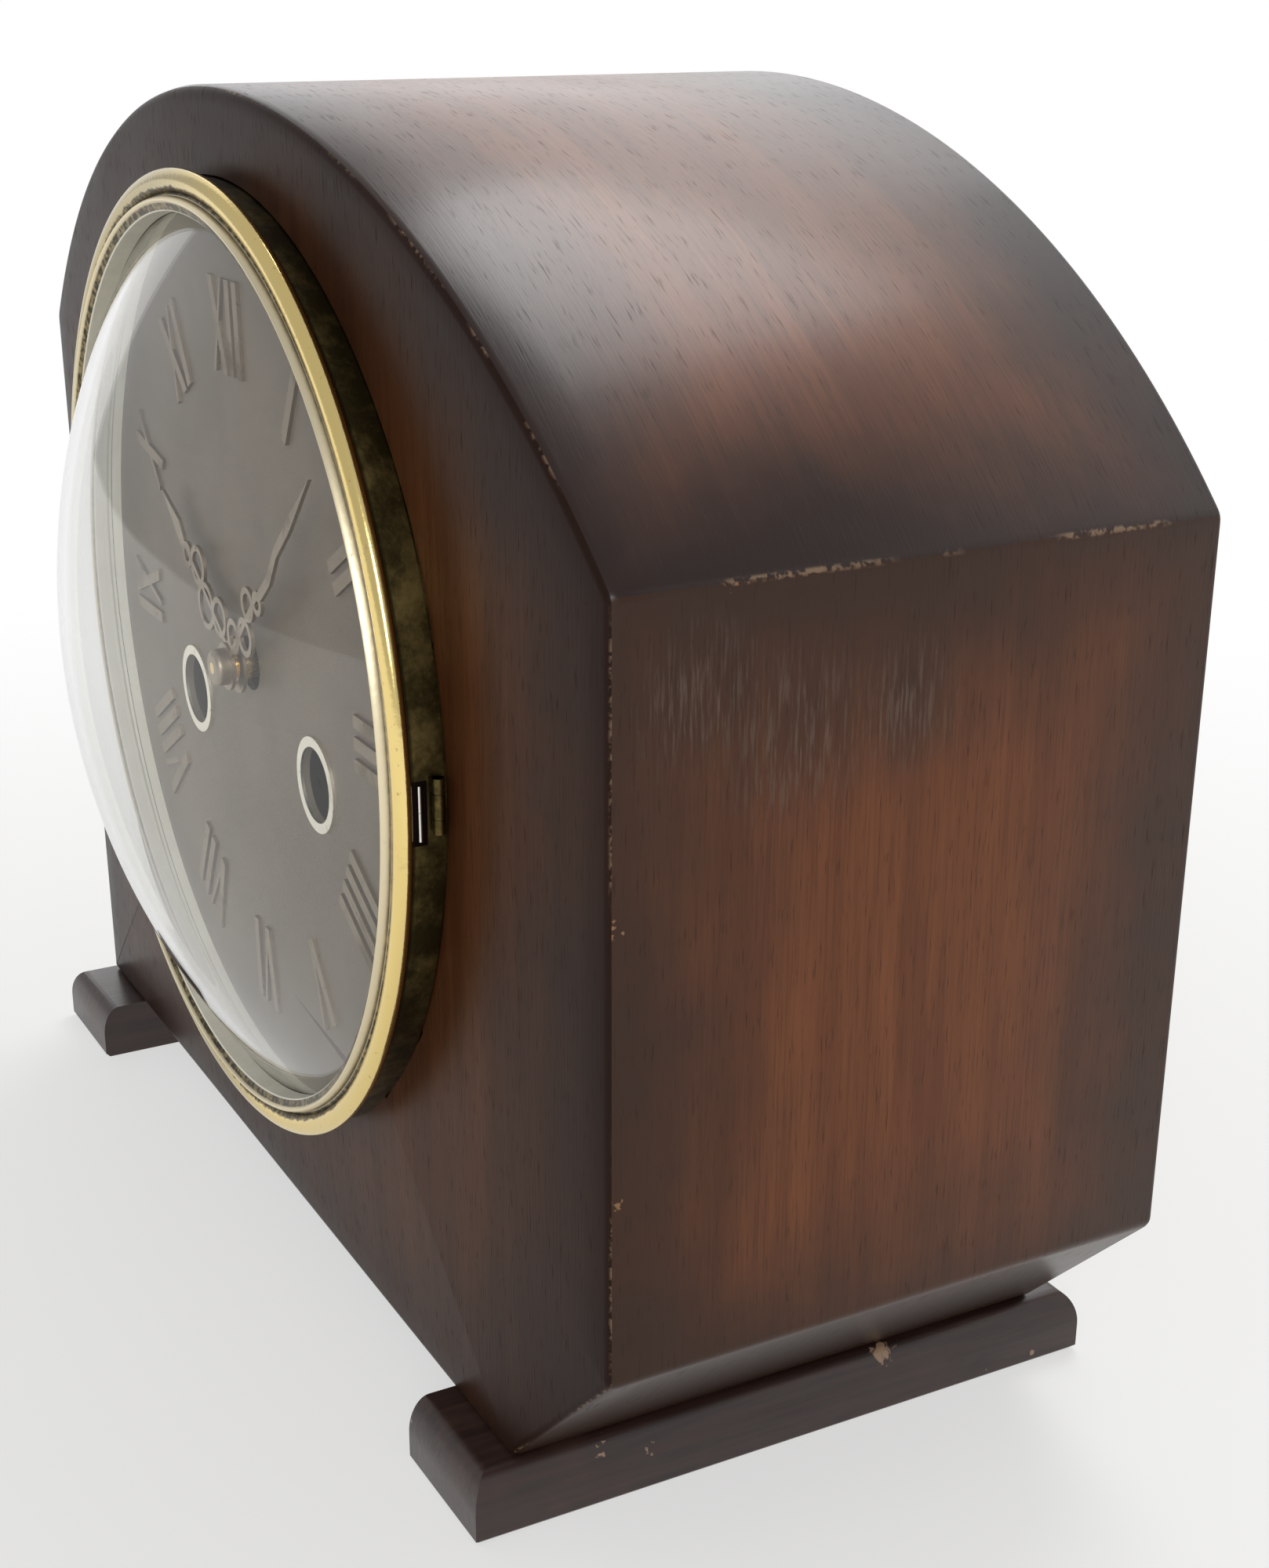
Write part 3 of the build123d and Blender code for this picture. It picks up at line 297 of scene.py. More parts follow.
near_black = (0.020, 0.009, 0.006)
side_edge = (0.042, 0.020, 0.012)
arch_veneer = veneer("walnut_arch", "arch", (0.165, 0.056, 0.023), near_black, 0.20, 0.24)
side_veneer = veneer("walnut_side", "side", (0.165, 0.053, 0.019), side_edge, 0.08, 0.17)
outline = case_line()
back_ease = ((0.0, 0.8), (0.25, 0.22), (0.9, 0.0))
shell_rings = [(0.0, panel_back)]
shell_rings += [(depth, case_back - drop) for depth, drop in back_ease]
shell_rings += [(board_thick, case_back), (board_thick, panel_back)]
points = []
for depth, y in shell_rings:
    points += [place(px, y, pz) for px, pz in inset(outline, depth)]
shell = piece_from("case_shell", points, skin(len(shell_rings), len(outline)))
shell.data.materials.append(side_veneer)
shell.data.materials.append(arch_veneer)
crease_slack = 0.3


def on_arch(face):
    """Whether a face of the case lies on its round top."""
    crease = crease_z if face.center.x > 0 else left_crease_z
    return face.center.z > (crease - crease_slack) * MM


for face in shell.data.polygons:
    face.material_index = int(on_arch(face))
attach(shell, "case")
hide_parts("arch_top", "side_right", "side_left", "slant_right", "bottom_board")

# The front panel: a bowed board veneered like the shell, with a flat round seat cut for the bezel.
# Its front arris is eased and the lacquer has rubbed through in places along it.
# The front's walnut is given about half the shell's brightness: painted shade for a face turned away from
# the light.
front_veneer_painted_shade = veneer("walnut_front_painted_shade", "front", (0.076, 0.027, 0.010), near_black, 0.0, 0.08)
dial_z, seat_r, opening_r, seat_y = 109.8, 75.8, 64.0, 2.0


def bow(x):
    """How far the bowed front lies back at a distance from its middle."""
    return bow_r - sqrt(bow_r ** 2 - x * x)


front_ease = ((0.0, 1.5), (0.3, 0.55), (0.75, 0.14), (1.4, 0.0))
fan = 8
fronts = []
for depth, drop in front_ease:
    rim = inset(outline, depth)
    fronts.append([(px, bow(px) + drop, pz) for px, pz in rim])
turns = [atan2(pz - dial_z, px) for px, pz in rim]
for step in range(1, fan + 1):
    ring = []
    for (px, pz), turn in zip(rim, turns):
        x = px + (seat_r * cos(turn) - px) * step / fan
        z = pz + (dial_z + seat_r * sin(turn) - pz) * step / fan
        ring.append((x, bow(x), z))
    fronts.append(ring)
for radius, y in ((seat_r, seat_y), (opening_r, seat_y), (opening_r, panel_back)):
    fronts.append([(radius * cos(turn), y, dial_z + radius * sin(turn)) for turn in turns])
fronts.append([(px, panel_back, pz) for px, pz in outline])
points = [place(*point) for ring in fronts for point in ring]
faces = [(a, d, c, b) for a, b, c, d in skin(len(fronts), len(outline))]
panel = piece_from("front_panel_veneered", points, faces)
for finish in (front_veneer_painted_shade, side_veneer, arch_veneer):
    panel.data.materials.append(finish)
edge_on, seat_clear = 0.45, 1.0
for face in panel.data.polygons:
    outside = hypot(face.center.x, face.center.z - dial_z * MM) > (seat_r + seat_clear) * MM
    if outside and abs(face.normal.y) < edge_on:
        face.material_index = 1 + int(on_arch(face))
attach(panel, "case")
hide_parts("front_panel")

# The two feet: lengths of quarter-round moulding returned round the ends with mitred corners, glued
# under the bottom board, stained almost black, with the lacquer chipped to bare wood here and there.
foot_wide, foot_over, foot_bead, foot_toe = 24.3, 3.6, 5.0, 0.8
foot_front, foot_back = -4.6, 106.0
foot_stain, tree, shader, where, _ = start_finish("foot_stain")
grain = noise(tree, where, 1.0, 4.0, 0.55, (900, 40, 700))
cloud = noise(tree, where, 60.0)
chips = sums(tree, "MULTIPLY", ease(tree, noise(tree, where, 260.0, 2.0), 0.69, 0.73),
             ease(tree, noise(tree, where, 24.0, 0.0), 0.60, 0.66))
knocks = (((90.5, 68, 9.8), 1.8), ((91, 17, 9), 0.9), ((92, 24, 6.5), 0.8))
chips = sums(tree, "MAXIMUM", chips, marks(tree, where, knocks))
colour = blend_colour(tree, ease(tree, grain, 0.35, 0.7), (0.022, 0.011, 0.009), (0.042, 0.020, 0.015))
colour = blend_colour(tree, ease(tree, cloud, 0.45, 0.75), colour, (0.080, 0.040, 0.028), 0.5)
colour = blend_colour(tree, chips, colour, bare_wood)
tree.links.new(colour, shader.inputs["Base Color"])
tree.links.new(sums(tree, "MULTIPLY_ADD", cloud, 0.2, 0.28), shader.inputs["Roughness"])
relief(tree, shader, 0.12, 0.0005, sums(tree, "SUBTRACT", grain, chips))
shader.inputs["Coat Weight"].default_value = 0.2
shader.inputs["Coat Roughness"].default_value = 0.2
moulding = [(foot_toe, 0.0), (0.0, foot_toe), (0.0, foot_bead)]
bead_steps = 12
for i in range(1, bead_steps + 1):
    turn = pi / 2 * i / bead_steps
    moulding.append((foot_over * (1 - cos(turn)), foot_bead + (FOOT_TOP - foot_bead) * sin(turn)))
for name, side, outer in (("right", 1, bottom_half + foot_over), ("left", -1, left_half + foot_over)):
    points, faces = [], []
    for slip, z in moulding:
        for px, py in ((outer - foot_wide, foot_front + slip), (outer - slip, foot_front + slip),
                       (outer - slip, foot_back - slip), (outer - foot_wide, foot_back - slip)):
            points.append(place(side * px, py, z))
    loops = [tuple(4 * i + a for a in range(4)) for i in range(len(moulding))]
    for low, high in zip(loops, loops[1:]):
        faces += [(low[a], low[(a + 1) % 4], high[(a + 1) % 4], high[a]) for a in range(4)]
    faces += [loops[0][::-1], loops[-1]]
    if side < 0:
        faces = [face[::-1] for face in faces]
    foot = piece_from("foot_moulding_" + name, points, faces)
    foot.data.materials.append(foot_stain)
    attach(foot, "case")
    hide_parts("foot_" + name)

# The back board and its door: plain stained ply, unpolished, let into the case.
# The grain runs upright and the stain is patchy.
back_stain, tree, shader, where, _ = start_finish("back_stain")
grain = noise(tree, where, 1.0, 6.0, 0.65, (420, 60, 12))
cloud = noise(tree, where, 18.0)
colour = blend_colour(tree, ease(tree, grain, 0.3, 0.72), (0.085, 0.038, 0.018), (0.20, 0.105, 0.052))
colour = blend_colour(tree, ease(tree, cloud, 0.4, 0.7), colour, (0.060, 0.026, 0.013), 0.4)
tree.links.new(colour, shader.inputs["Base Color"])
tree.links.new(sums(tree, "MULTIPLY_ADD", grain, 0.2, 0.5), shader.inputs["Roughness"])
relief(tree, shader, 0.2, 0.0004, grain)


def dress(finish, *names):
    """Give CAD pieces one finish."""
    for name in names:
        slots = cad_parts[name].data.materials
        slots.clear()
        slots.append(finish)


dress(back_stain, "back_board", "back_door")

# The door's butt hinges, knob and turn button: small stamped brass, dulled by handling.
# The leaves are pinned flat to the board and the door, and the button turns on one screw.


def brass(name, bright, dull, cleanliness, roughness, streaks=(300, 300, 300)):
    """Metal with cloudy tarnish and fine brushing."""
    made, tree, shader, where, _ = start_finish(name)
    cloud = noise(tree, where, 90.0, 5.0, 0.65)
    speck = noise(tree, where, 900.0, 2.0)
    lines = noise(tree, where, 8.0, 2.0, 0.5, streaks)
    tarnish = ease(tree, cloud, cleanliness - 0.12, cleanliness + 0.14)
    tarnish = sums(tree, "MAXIMUM", tarnish, ease(tree, speck, 0.66, 0.74))
    tree.links.new(blend_colour(tree, tarnish, bright, dull), shader.inputs["Base Color"])
    fine = sums(tree, "MULTIPLY_ADD", lines, 0.12, roughness)
    tree.links.new(sums(tree, "MULTIPLY_ADD", tarnish, 0.25, fine), shader.inputs["Roughness"])
    shader.inputs["Metallic"].default_value = 1.0
    return made


hinge_brass = brass("hinge_brass", (0.60, 0.42, 0.17), (0.30, 0.19, 0.07), 0.60, 0.28)
dress(hinge_brass, "door_hinge_frame_leaves", "door_hinge_door_leaves", "door_hinge_pins", "door_knob",
      "turn_button", "turn_button_screw")

# The back board's screws: six small domed brass heads that hold it in the case's rebate.
# One head is set at each place by a node tree with the head's sizes as its inputs.
head_r, head_rise = 2.4, 0.9
screw_places = ((-97, 27), (-97, 140), (-45, 178), (45, 178), (101, 140), (78, 27))
screw_brass = brass("screw_brass", (0.55, 0.40, 0.18), (0.25, 0.17, 0.07), 0.58, 0.32)
heads = bpy.data.node_groups.new("screw_heads", "GeometryNodeTree")
heads.interface.new_socket("Places", in_out="INPUT", socket_type="NodeSocketGeometry")
radius_in = heads.interface.new_socket("Head Radius", in_out="INPUT", socket_type="NodeSocketFloat")
height_in = heads.interface.new_socket("Head Height", in_out="INPUT", socket_type="NodeSocketFloat")
heads.interface.new_socket("Screws", in_out="OUTPUT", socket_type="NodeSocketGeometry")
given = heads.nodes.new("NodeGroupInput")
ball = add(heads, "GeometryNodeMeshUVSphere", {"Segments": 24, "Rings": 12, "Radius": 1.0})
size = add(heads, "ShaderNodeCombineXYZ", {0: given.outputs["Head Radius"], 1: given.outputs["Head Height"],
                                           2: given.outputs["Head Radius"]})
set_out = add(heads, "GeometryNodeInstanceOnPoints", {
    "Points": given.outputs["Places"], "Instance": ball.outputs["Mesh"], "Scale": size.outputs[0]})
real = add(heads, "GeometryNodeRealizeInstances", {0: set_out.outputs[0]})
tinted = add(heads, "GeometryNodeSetMaterial", {"Geometry": real.outputs[0], "Material": screw_brass})
heads.links.new(tinted.outputs[0], heads.nodes.new("NodeGroupOutput").inputs[0])
screw_points = [place(px, case_back, pz) for px, pz in screw_places]
screws = piece_from("back_board_screws", screw_points, [], smooth=False)
repeat = screws.modifiers.new("heads", "NODES")
repeat.node_group = heads
repeat[radius_in.identifier] = head_r * MM
repeat[height_in.identifier] = head_rise * MM
baked = bpy.data.meshes.new_from_object(screws.evaluated_get(bpy.context.evaluated_depsgraph_get()))
screws.modifiers.clear()
screws.data = baked
baked.polygons.foreach_set("use_smooth", [True] * len(baked.polygons))
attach(screws, "case")

# The dial: a satin silvered plate gone grey-brown, with applied roman numerals in raised strips
# and a bright ring pressed round each winding hole.
dial_satin, tree, shader, where, (x, _, z) = start_finish("dial_satin")
reach = from_axis(tree, x, sums(tree, "SUBTRACT", z, dial_z * MM))
cloud = noise(tree, where, 45.0, 4.0)
speck = noise(tree, where, 260.0, 4.0)
colour = blend_colour(tree, ease(tree, cloud, 0.3, 0.7), (0.180, 0.142, 0.104), (0.245, 0.197, 0.150))
# Painted shade: the plate is drawn darker towards its rim, where the bezel stands over it.
colour = blend_colour(tree, ease(tree, reach, 0.052, 0.071), colour, (0.14, 0.108, 0.078), 0.3)
colour = blend_colour(tree, ease(tree, speck, 0.6, 0.8), colour, (0.13, 0.105, 0.080), 0.15)
tree.links.new(colour, shader.inputs["Base Color"])
shader.inputs["Metallic"].default_value = 0.15
tree.links.new(sums(tree, "MULTIPLY_ADD", cloud, 0.12, 0.46), shader.inputs["Roughness"])
relief(tree, shader, 0.02, 0.0002, cloud)
dress(dial_satin, "dial_plate")
strip = brass("numeral_strip", (0.34, 0.28, 0.21), (0.27, 0.215, 0.155), 0.62, 0.45)
dress(strip, "dial_numerals")
ring_silver = brass("ring_silver", (0.84, 0.79, 0.67), (0.62, 0.57, 0.46), 0.70, 0.30)
dress(ring_silver, "winding_hole_rings")


def lathe(section, turns=256):
    """Points and faces of a closed section of radius and depth turned about the dial's axis."""
    points = []
    for i in range(turns):
        a = 2 * pi * i / turns
        points += [place(r * cos(a), y, dial_z + r * sin(a)) for r, y in section]
    return points, skin(turns, len(section))


dial_front, dial_back, dial_inner, dial_outer = 1.01, 2.0, 66.8, 71.2
dial_rim = piece_from("dial_rim", *lathe([(dial_inner, dial_front), (dial_inner, dial_back),
                                          (dial_outer, dial_back), (dial_outer, dial_front)]))
dial_rim.data.materials.append(dial_satin)
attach(dial_rim, "case")

# The bezel: spun brass with a rolled front edge rubbed bright, a tarnished side wall, a thin raised bead
# next to the glass and a pale lining within, its colour raised further as painted light. It hinges at
# three o'clock on the base ring's lugs, where a steel pin shows in a narrow slot in its wall; the slot
# is not cut but drawn near black on the wall, as painted shade.
bezel_r, sight_r, bead_r, glass_r = 75.5, 70.7, 72.5, 71.0
wall_front, skirt_back, bezel_back, ring_front, glass_seat = -3.1, 1.4, -1.5, -1.2, -3.1
skirt_r, ring_r = 74.9, 74.7
slot_y, slot_half, slot_tall, slot_drop = -2.35, 1.1, 4.7, 1.2
lining_front, lining_gap, hinge_side = 6.2, 0.06, 70.0
bezel_brass, tree, shader, where, (x, y, z) = start_finish("bezel_brass")
up = sums(tree, "SUBTRACT", z, dial_z * MM)
reach = from_axis(tree, x, up)
forward = sums(tree, "SUBTRACT", -Y_MID * MM, y)
rolled = ease(tree, forward, 0.0037, 0.0042)
# Painted shade: the wall is drawn near black in the crevice just behind the rolled edge.
crevice_painted_shade = sums(tree, "MULTIPLY", ease(tree, forward, 0.0029, 0.0033), sums(tree, "SUBTRACT", 1.0, rolled))
ragged = sums(tree, "MULTIPLY_ADD", noise(tree, where, 600.0, 3.0), 0.0012, reach)
on_roll = ease(tree, ragged, 0.0747, 0.0751)
off_bead = ease(tree, sums(tree, "ABSOLUTE", sums(tree, "SUBTRACT", reach, bead_r * MM)), 0.0003, 0.0007)
lining = sums(tree, "LESS_THAN", reach, (dial_outer + lining_gap) * MM)
lining = sums(tree, "MULTIPLY", lining, sums(tree, "LESS_THAN", forward, lining_front * MM))
cloud = noise(tree, where, 110.0, 5.0, 0.7)
speck = noise(tree, where, 1000.0, 3.0)
stain = sums(tree, "MAXIMUM", ease(tree, cloud, 0.60, 0.80), ease(tree, speck, 0.66, 0.72))
bright = blend_colour(tree, stain, (0.88, 0.68, 0.27), (0.45, 0.31, 0.11), 0.5)
# Painted reflection: the rolled edge is drawn dull grey on its left half, where it would mirror the darker
# side of the room.
painted_bright_side = ease(tree, x, -0.015, 0.025)
bright = blend_colour(tree, sums(tree, "MULTIPLY_ADD", painted_bright_side, -0.7, 0.7), bright, (0.30, 0.27, 0.18))
wall = blend_colour(tree, ease(tree, cloud, 0.42, 0.68), (0.045, 0.034, 0.013), (0.17, 0.125, 0.045))
wall = blend_colour(tree, crevice_painted_shade, wall, (0.012, 0.009, 0.004), 0.8)
lip = blend_colour(tree, ease(tree, speck, 0.40, 0.66), (0.055, 0.045, 0.026), (0.30, 0.235, 0.125))
lip = blend_colour(tree, off_bead, (0.80, 0.70, 0.48), lip)
colour = blend_colour(tree, rolled, wall, bright)
colour = blend_colour(tree, on_roll, lip, colour)
# Painted shade: the slot is not cut; a near-black patch is drawn on the wall where it stands.
beside = sums(tree, "ABSOLUTE", sums(tree, "ADD", y, (Y_MID - slot_y) * MM))
level = sums(tree, "ABSOLUTE", sums(tree, "ADD", up, slot_drop * MM))
slot_painted_shade = least(tree, sums(tree, "LESS_THAN", level, slot_tall * MM),
             sums(tree, "LESS_THAN", beside, slot_half * MM), sums(tree, "GREATER_THAN", x, hinge_side * MM))
colour = blend_colour(tree, slot_painted_shade, colour, (0.010, 0.006, 0.005))
# The lining is pale, and its colour is raised further as painted light, for the light it misses inside the
# bezel.
pale_with_painted_light = blend_colour(tree, ease(tree, cloud, 0.35, 0.7), (0.80, 0.76, 0.64), (0.88, 0.85, 0.73))
colour = blend_colour(tree, lining, colour, pale_with_painted_light)
tree.links.new(colour, shader.inputs["Base Color"])
tree.links.new(sums(tree, "SUBTRACT", 1.0, lining), shader.inputs["Metallic"])
shiny = sums(tree, "MULTIPLY", rolled, on_roll)
rough = sums(tree, "MULTIPLY_ADD", stain, 0.20, sums(tree, "MULTIPLY_ADD", shiny, -0.20, 0.38))
tree.links.new(rough, shader.inputs["Roughness"])
relief(tree, shader, 0.10, 0.0003, speck)


def upright_rod(x, y, radius, low, high, sides=24):
    """Points and faces of a short round bar that stands between two heights from the dial's middle."""
    points = []
    for end in (low, high):
        for i in range(sides):
            a = 2 * pi * i / sides
            points.append(place(x + radius * cos(a), y + radius * sin(a), dial_z + end))
    faces = [(i, (i + 1) % sides, sides + (i + 1) % sides, sides + i) for i in range(sides)]
    return points, faces + [tuple(range(sides))[::-1], tuple(range(sides, 2 * sides))]


def joined(*parts):
    """The points and faces of some shapes as one."""
    points, faces = [], []
    for more_points, more_faces in parts:
        faces += [tuple(len(points) + i for i in face) for face in more_faces]
        points += more_points
    return points, faces


roll_mid, roll_out, roll_deep = (75.2, -4.8), 1.8, 1.35
roll_start, roll_sweep, roll_steps = -40, 205, 14
section = [(skirt_r, skirt_back), (bezel_r, skirt_back), (bezel_r, wall_front),
           (bezel_r - 0.1, wall_front - 0.5)]
for i in range(roll_steps + 1):
    turn = radians(roll_start + roll_sweep * i / roll_steps)
    section.append((roll_mid[0] + roll_out * cos(turn), roll_mid[1] - roll_deep * sin(turn)))
section += [(73.3, -5.35), (72.95, -5.6), (72.8, -6.6), (bead_r, -7.0), (72.25, -6.95), (72.0, -6.6),
            (71.0, -6.3), (sight_r, -6.0), (sight_r, glass_seat), (glass_r + 0.1, glass_seat + 0.4),
            (glass_r + 0.1, bezel_back), (skirt_r, bezel_back)]
hinge_x, knuckle_r, knuckle_half, knuckle_gap, lug_end = 76.5, 0.95, 1.7, 0.2, 4.0
knuckle = upright_rod(hinge_x, 0.0, knuckle_r, -knuckle_half, knuckle_half)
bezel = piece_from("bezel_rolled", *joined(lathe(section), knuckle), sharp=0.75)
bezel.data.materials.append(bezel_brass)
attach(bezel, "bezel")
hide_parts("bezel_ring", "glass_retainer")
pin_steel = brass("pin_steel", (0.78, 0.76, 0.72), (0.45, 0.42, 0.38), 0.72, 0.18)
pin_r, pin_sunk, pin_short = 0.38, 0.2, 0.7
pin_low = -slot_drop - slot_tall + pin_short
pin_high = slot_tall - slot_drop - pin_short
pin_rod = upright_rod(bezel_r - pin_sunk, slot_y, pin_r, pin_low, pin_high, sides=16)
slot_pin = piece_from("bezel_slot_pin", *pin_rod)
slot_pin.data.materials.append(pin_steel)
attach(slot_pin, "bezel")

# The base ring: a flat brass ring let into the front panel round the dial, dark with age, with two lugs
# that hold the bezel's hinge pin. Its inside is lined pale like the bezel's.
base_ring = piece_from("base_ring", *joined(
    lathe([(ring_r, dial_back), (ring_r, ring_front), (dial_outer, ring_front), (dial_outer, dial_back)]),
    upright_rod(hinge_x, 0.0, knuckle_r, knuckle_half + knuckle_gap, lug_end),
    upright_rod(hinge_x, 0.0, knuckle_r, -lug_end, -knuckle_half - knuckle_gap)))
base_ring.data.materials.append(bezel_brass)
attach(base_ring, "case")
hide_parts("bezel_base_ring")
base_brass = brass("base_brass", (0.22, 0.16, 0.065), (0.075, 0.055, 0.025), 0.46, 0.38)
dress(base_brass, "bezel_hinge_pin")

# The glass: one thick domed disc, clear, with a ground edge under the bezel's lip.
# Light falls through it onto the dial, and its far side shows the pale ground behind the clock.
glass_clear, tree, shader, where, _ = start_finish("glass_clear")
shader.inputs["Base Color"].default_value = (0.985, 0.99, 0.985, 1)
shader.inputs["Transmission Weight"].default_value = 1.0
shader.inputs["IOR"].default_value = 1.45
smear = noise(tree, where, 30.0, 4.0)
tree.links.new(sums(tree, "MULTIPLY", ease(tree, smear, 0.5, 0.8), 0.008), shader.inputs["Roughness"])
rays = tree.nodes.new("ShaderNodeLightPath").outputs
passing = sums(tree, "MAXIMUM", rays["Is Shadow Ray"], rays["Is Diffuse Ray"])
open_air = add(tree, "ShaderNodeBsdfTransparent", {0: (0.93, 0.94, 0.93, 1)}).outputs[0]
both = add(tree, "ShaderNodeMixShader", {0: passing, 1: shader.outputs[0], 2: open_air}).outputs[0]
tree.links.new(both, tree.nodes["Material Output"].inputs[0])
dome_r, glass_front, glass_thick = 120.6, -25.86, 1.6
dome_mid = glass_front + dome_r
steps, turns = 40, 160
dome = []
for sphere in (dome_r, dome_r - glass_thick):
    radii = [glass_r * i / steps for i in range(steps + 1)]
    dome.append([(r, dome_mid - sqrt(sphere ** 2 - r * r)) for r in radii])
points, faces = [place(0, dome[0][0][1], dial_z), place(0, dome[1][0][1], dial_z)], []
n = 2 * steps
for i in range(turns):
    turn = 2 * pi * i / turns
    points += [place(r * cos(turn), y, dial_z + r * sin(turn)) for r, y in dome[0][1:] + dome[1][:0:-1]]
    a, b = 2 + i * n, 2 + (i + 1) % turns * n
    faces += [(0, a, b), (1, b + n - 1, a + n - 1)]
    faces += [(a + s, a + s + 1, b + s + 1, b + s) for s in range(n - 1)]
glass = piece_from("glass_dome", points, faces)
glass.data.materials.append(glass_clear)
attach(glass, "bezel")
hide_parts("bezel_glass")

# The hands: pierced serpentine steel with a dull gilt wash, held by a small domed nut.
# They are set to eight minutes past ten.
hand_gilt = brass("hand_gilt", (0.36, 0.30, 0.23), (0.25, 0.20, 0.145), 0.64, 0.40)
dress(hand_gilt, "hour_hand", "minute_hand", "hand_nut")

# The movement: brass plates, pillars, barrels and crossed-out wheels, with steel arbors, clicks,
# anchor, springs and hammer. The pendulum bob is a brass lens and the gong block is painted iron.
plate_brass = brass("plate_brass", (0.66, 0.48, 0.21), (0.40, 0.27, 0.10), 0.66, 0.26, (40, 300, 900))
wheel_brass = brass("wheel_brass", (0.72, 0.53, 0.24), (0.44, 0.30, 0.12), 0.68, 0.20)
steel = brass("bright_steel", (0.52, 0.52, 0.53), (0.24, 0.22, 0.20), 0.70, 0.28)
iron = brass("gong_iron", (0.05, 0.05, 0.055), (0.09, 0.06, 0.045), 0.66, 0.5)
dress(plate_brass, "movement_front_plate", "movement_back_plate", "plate_pillars", "movement_standoffs",
      "time_barrel", "strike_barrel", "suspension_cock", "pendulum_bob", "rating_nut", "hammer_head")
dress(wheel_brass, "centre_wheel", "third_wheel", "escape_wheel", "strike_pin_wheel", "strike_third_wheel",
      "cannon_pinion", "minute_wheel", "hour_wheel", "fly")
dress(steel, "pillar_nuts", "time_winding_arbor", "strike_winding_arbor", "time_click", "strike_click",
      "time_mainspring", "strike_mainspring", "anchor_and_crutch", "suspension_spring", "pendulum_rod",
      "hammer", "gong_rods")
dress(iron, "gong_block")

# The setting: a pale floor that runs out into a white backdrop behind the clock, a soft light overhead,
# a window light from the left behind and a fill from the right in front.


def white_when_seen(tree, shader, share):
    """Plain white over a surface by a share, where it is seen directly, in metal or through glass."""
    rays = tree.nodes.new("ShaderNodeLightPath").outputs
    seen = sums(tree, "MAXIMUM", rays["Is Camera Ray"], sums(tree, "MAXIMUM", rays["Is Glossy Ray"],
                                                             rays["Is Transmission Ray"]))
    white = add(tree, "ShaderNodeEmission", {0: (1, 1, 1, 1), 1: 1.0}).outputs[0]
    whitened = sums(tree, "MULTIPLY", seen, share)
    both = add(tree, "ShaderNodeMixShader", {0: whitened, 1: shader.outputs[0], 2: white}).outputs[0]
    tree.links.new(both, tree.nodes["Material Output"].inputs[0])


room = 3.5
white_near, white_from, white_to = 0.58, 0.10, 0.50
floor_pale, tree, shader, where, _ = start_finish("floor_pale")
colour = blend_colour(tree, noise(tree, where, 3.0), (0.74, 0.73, 0.69), (0.80, 0.79, 0.755))
tree.links.new(colour, shader.inputs["Base Color"])
shader.inputs["Roughness"].default_value = 0.6
away = add(tree, "ShaderNodeVectorMath", {0: where}, operation="LENGTH").outputs["Value"]
far = ease(tree, away, white_from, white_to)
white_when_seen(tree, shader, sums(tree, "MULTIPLY_ADD", far, 1 - white_near, white_near))
points = [(-room, -room, 0), (room, -room, 0), (room, room, 0), (-room, room, 0)]
floor = piece_from("floor", points, [(0, 1, 2, 3)], smooth=False)
floor.data.materials.append(floor_pale)
backdrop_start, backdrop_sweep, spans = 20, 175, 24
backdrop_white, tree, shader, where, _ = start_finish("backdrop_white")
colour = blend_colour(tree, noise(tree, where, 1.0), (0.84, 0.84, 0.83), (0.88, 0.88, 0.87))
tree.links.new(colour, shader.inputs["Base Color"])
white_when_seen(tree, shader, 1.0)
points = []
for i in range(spans + 1):
    turn = radians(backdrop_start + backdrop_sweep * i / spans)
    points += [(room * cos(turn), room * sin(turn), 0), (room * cos(turn), room * sin(turn), room)]
faces = [(2 * i, 2 * i + 1, 2 * i + 3, 2 * i + 2) for i in range(spans)]
backdrop = piece_from("backdrop", points, faces)
backdrop.data.materials.append(backdrop_white)
sky_tint, sky_strength = (0.97, 0.98, 1.0, 1), 0.55
world = bpy.data.worlds.new("studio")
bpy.context.scene.world = world
world.use_nodes = True
tree = world.node_tree
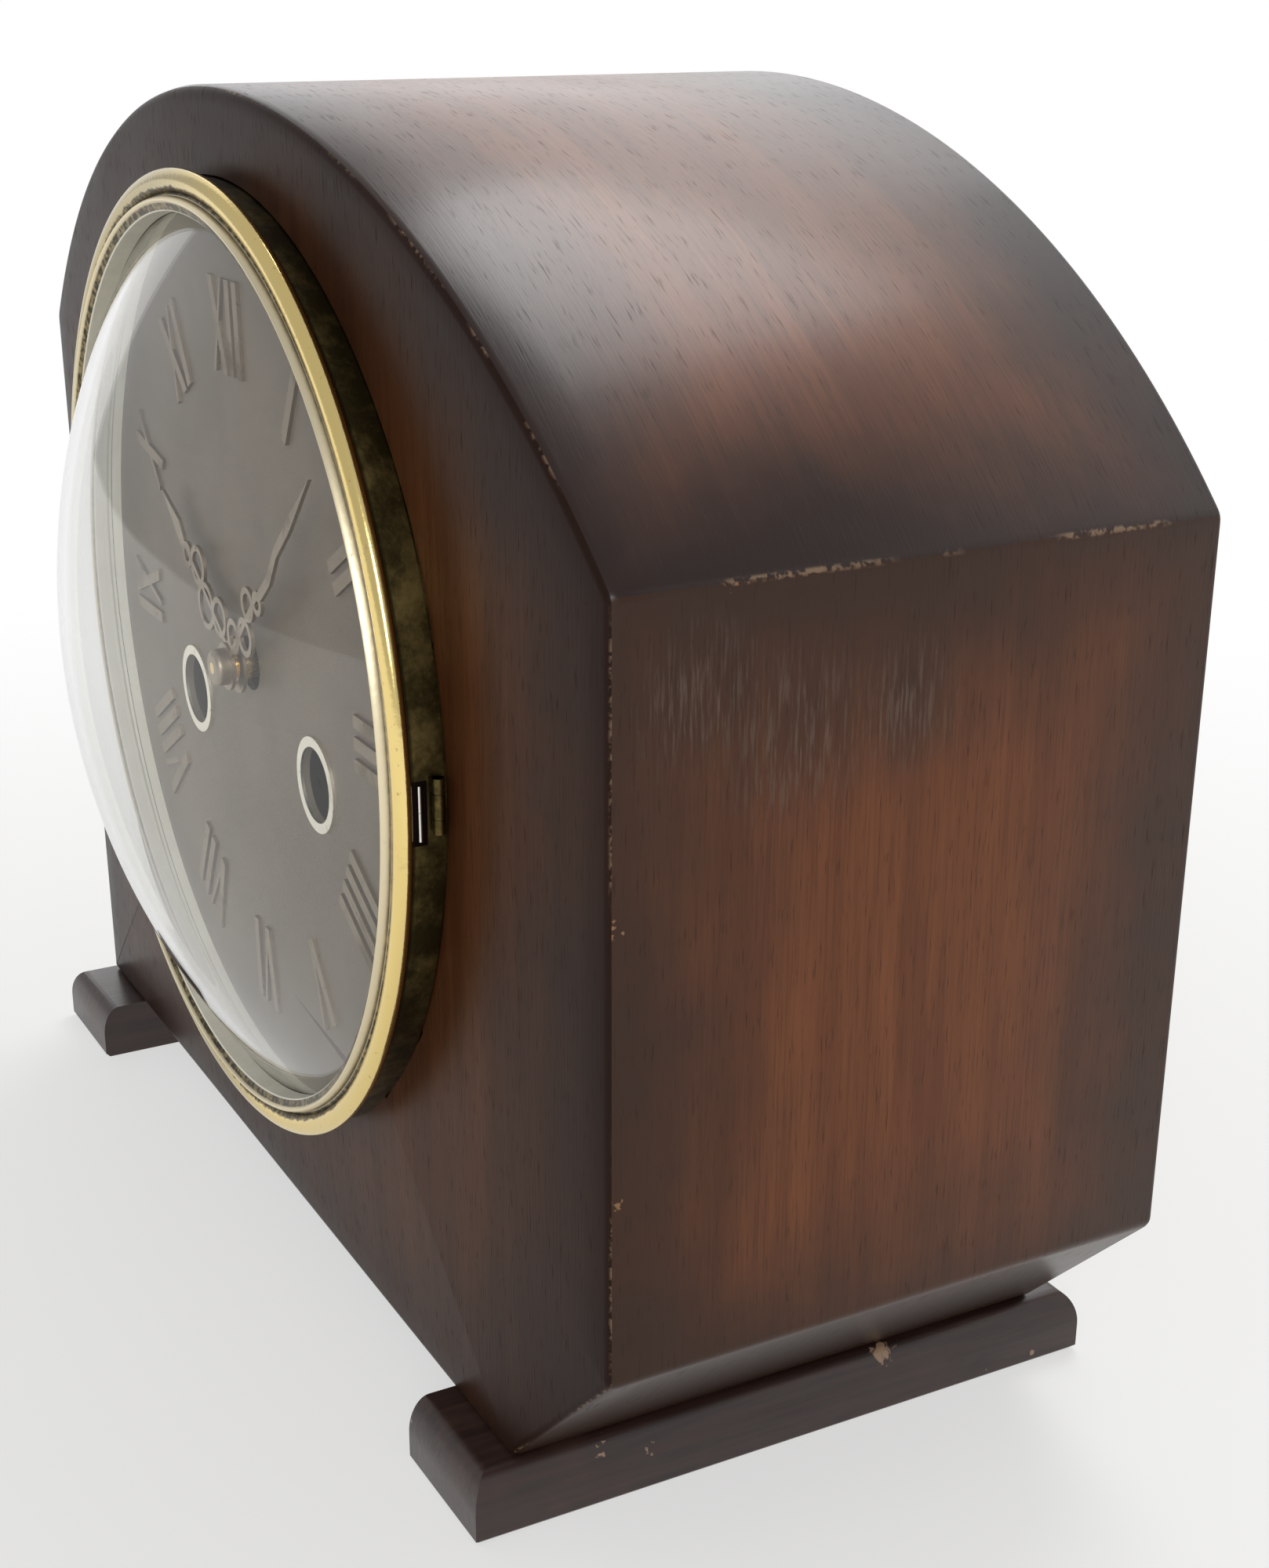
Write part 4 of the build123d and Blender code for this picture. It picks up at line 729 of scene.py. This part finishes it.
tree.nodes.clear()
soft = add(tree, "ShaderNodeBackground", {0: sky_tint, 1: sky_strength}).outputs[0]
tree.links.new(soft, tree.nodes.new("ShaderNodeOutputWorld").inputs[0])


def lamp(name, at, aim, size, power):
    """A soft rectangular light at a place in metres, turned towards a point."""
    light = bpy.data.lights.new(name, "AREA")
    light.shape = "RECTANGLE"
    light.size, light.size_y = size
    light.energy = power
    obj = bpy.data.objects.new(name, light)
    bpy.context.scene.collection.objects.link(obj)
    obj.location = at
    way = Vector(aim) - Vector(at)
    obj.rotation_euler = way.to_track_quat("-Z", "Y").to_euler()


lamp("overhead", (-0.36, 0.52, 1.10), (0, 0, 0.15), (0.55, 0.55), 5.5)
lamp("window", (-1.9, 1.05, 1.0), (0, 0, 0.1), (1.8, 1.2), 5.0)
lamp("front_fill", (1.25, -0.75, 0.75), (0, 0, 0.1), (0.6, 0.6), 7.0)

# The camera: it stands to the right of the clock, just above its top, where the photograph was taken from.
# Its place, turns and lens are fitted to the case's corners and the bezel's rings.
az, el, roll_angle = radians(61.476), radians(22.296), radians(0.167)
eye_x, eye_y, eye_z = 0.34824, -0.15842, 0.21694
film_height, lens_length, shift_right, shift_up = 36.0, 53.23, 0.00355, 0.07486
camera = bpy.data.cameras.new("camera")
eye = bpy.data.objects.new("camera", camera)
bpy.context.scene.collection.objects.link(eye)
bpy.context.scene.camera = eye
back = Vector((sin(az) * cos(el), -cos(az) * cos(el), sin(el)))
right = Vector((cos(az), sin(az), 0))
up = back.cross(right)
right, up = right * cos(roll_angle) + up * sin(roll_angle), up * cos(roll_angle) - right * sin(roll_angle)
eye.matrix_world = Matrix((
    (right.x, up.x, back.x, eye_x),
    (right.y, up.y, back.y, eye_y),
    (right.z, up.z, back.z, eye_z),
    (0, 0, 0, 1)))
camera.sensor_fit = "VERTICAL"
camera.sensor_height = film_height
camera.lens = lens_length
camera.shift_x = shift_right
camera.shift_y = shift_up
camera.clip_start = 0.01
bpy.context.scene.view_settings.view_transform = "Standard"
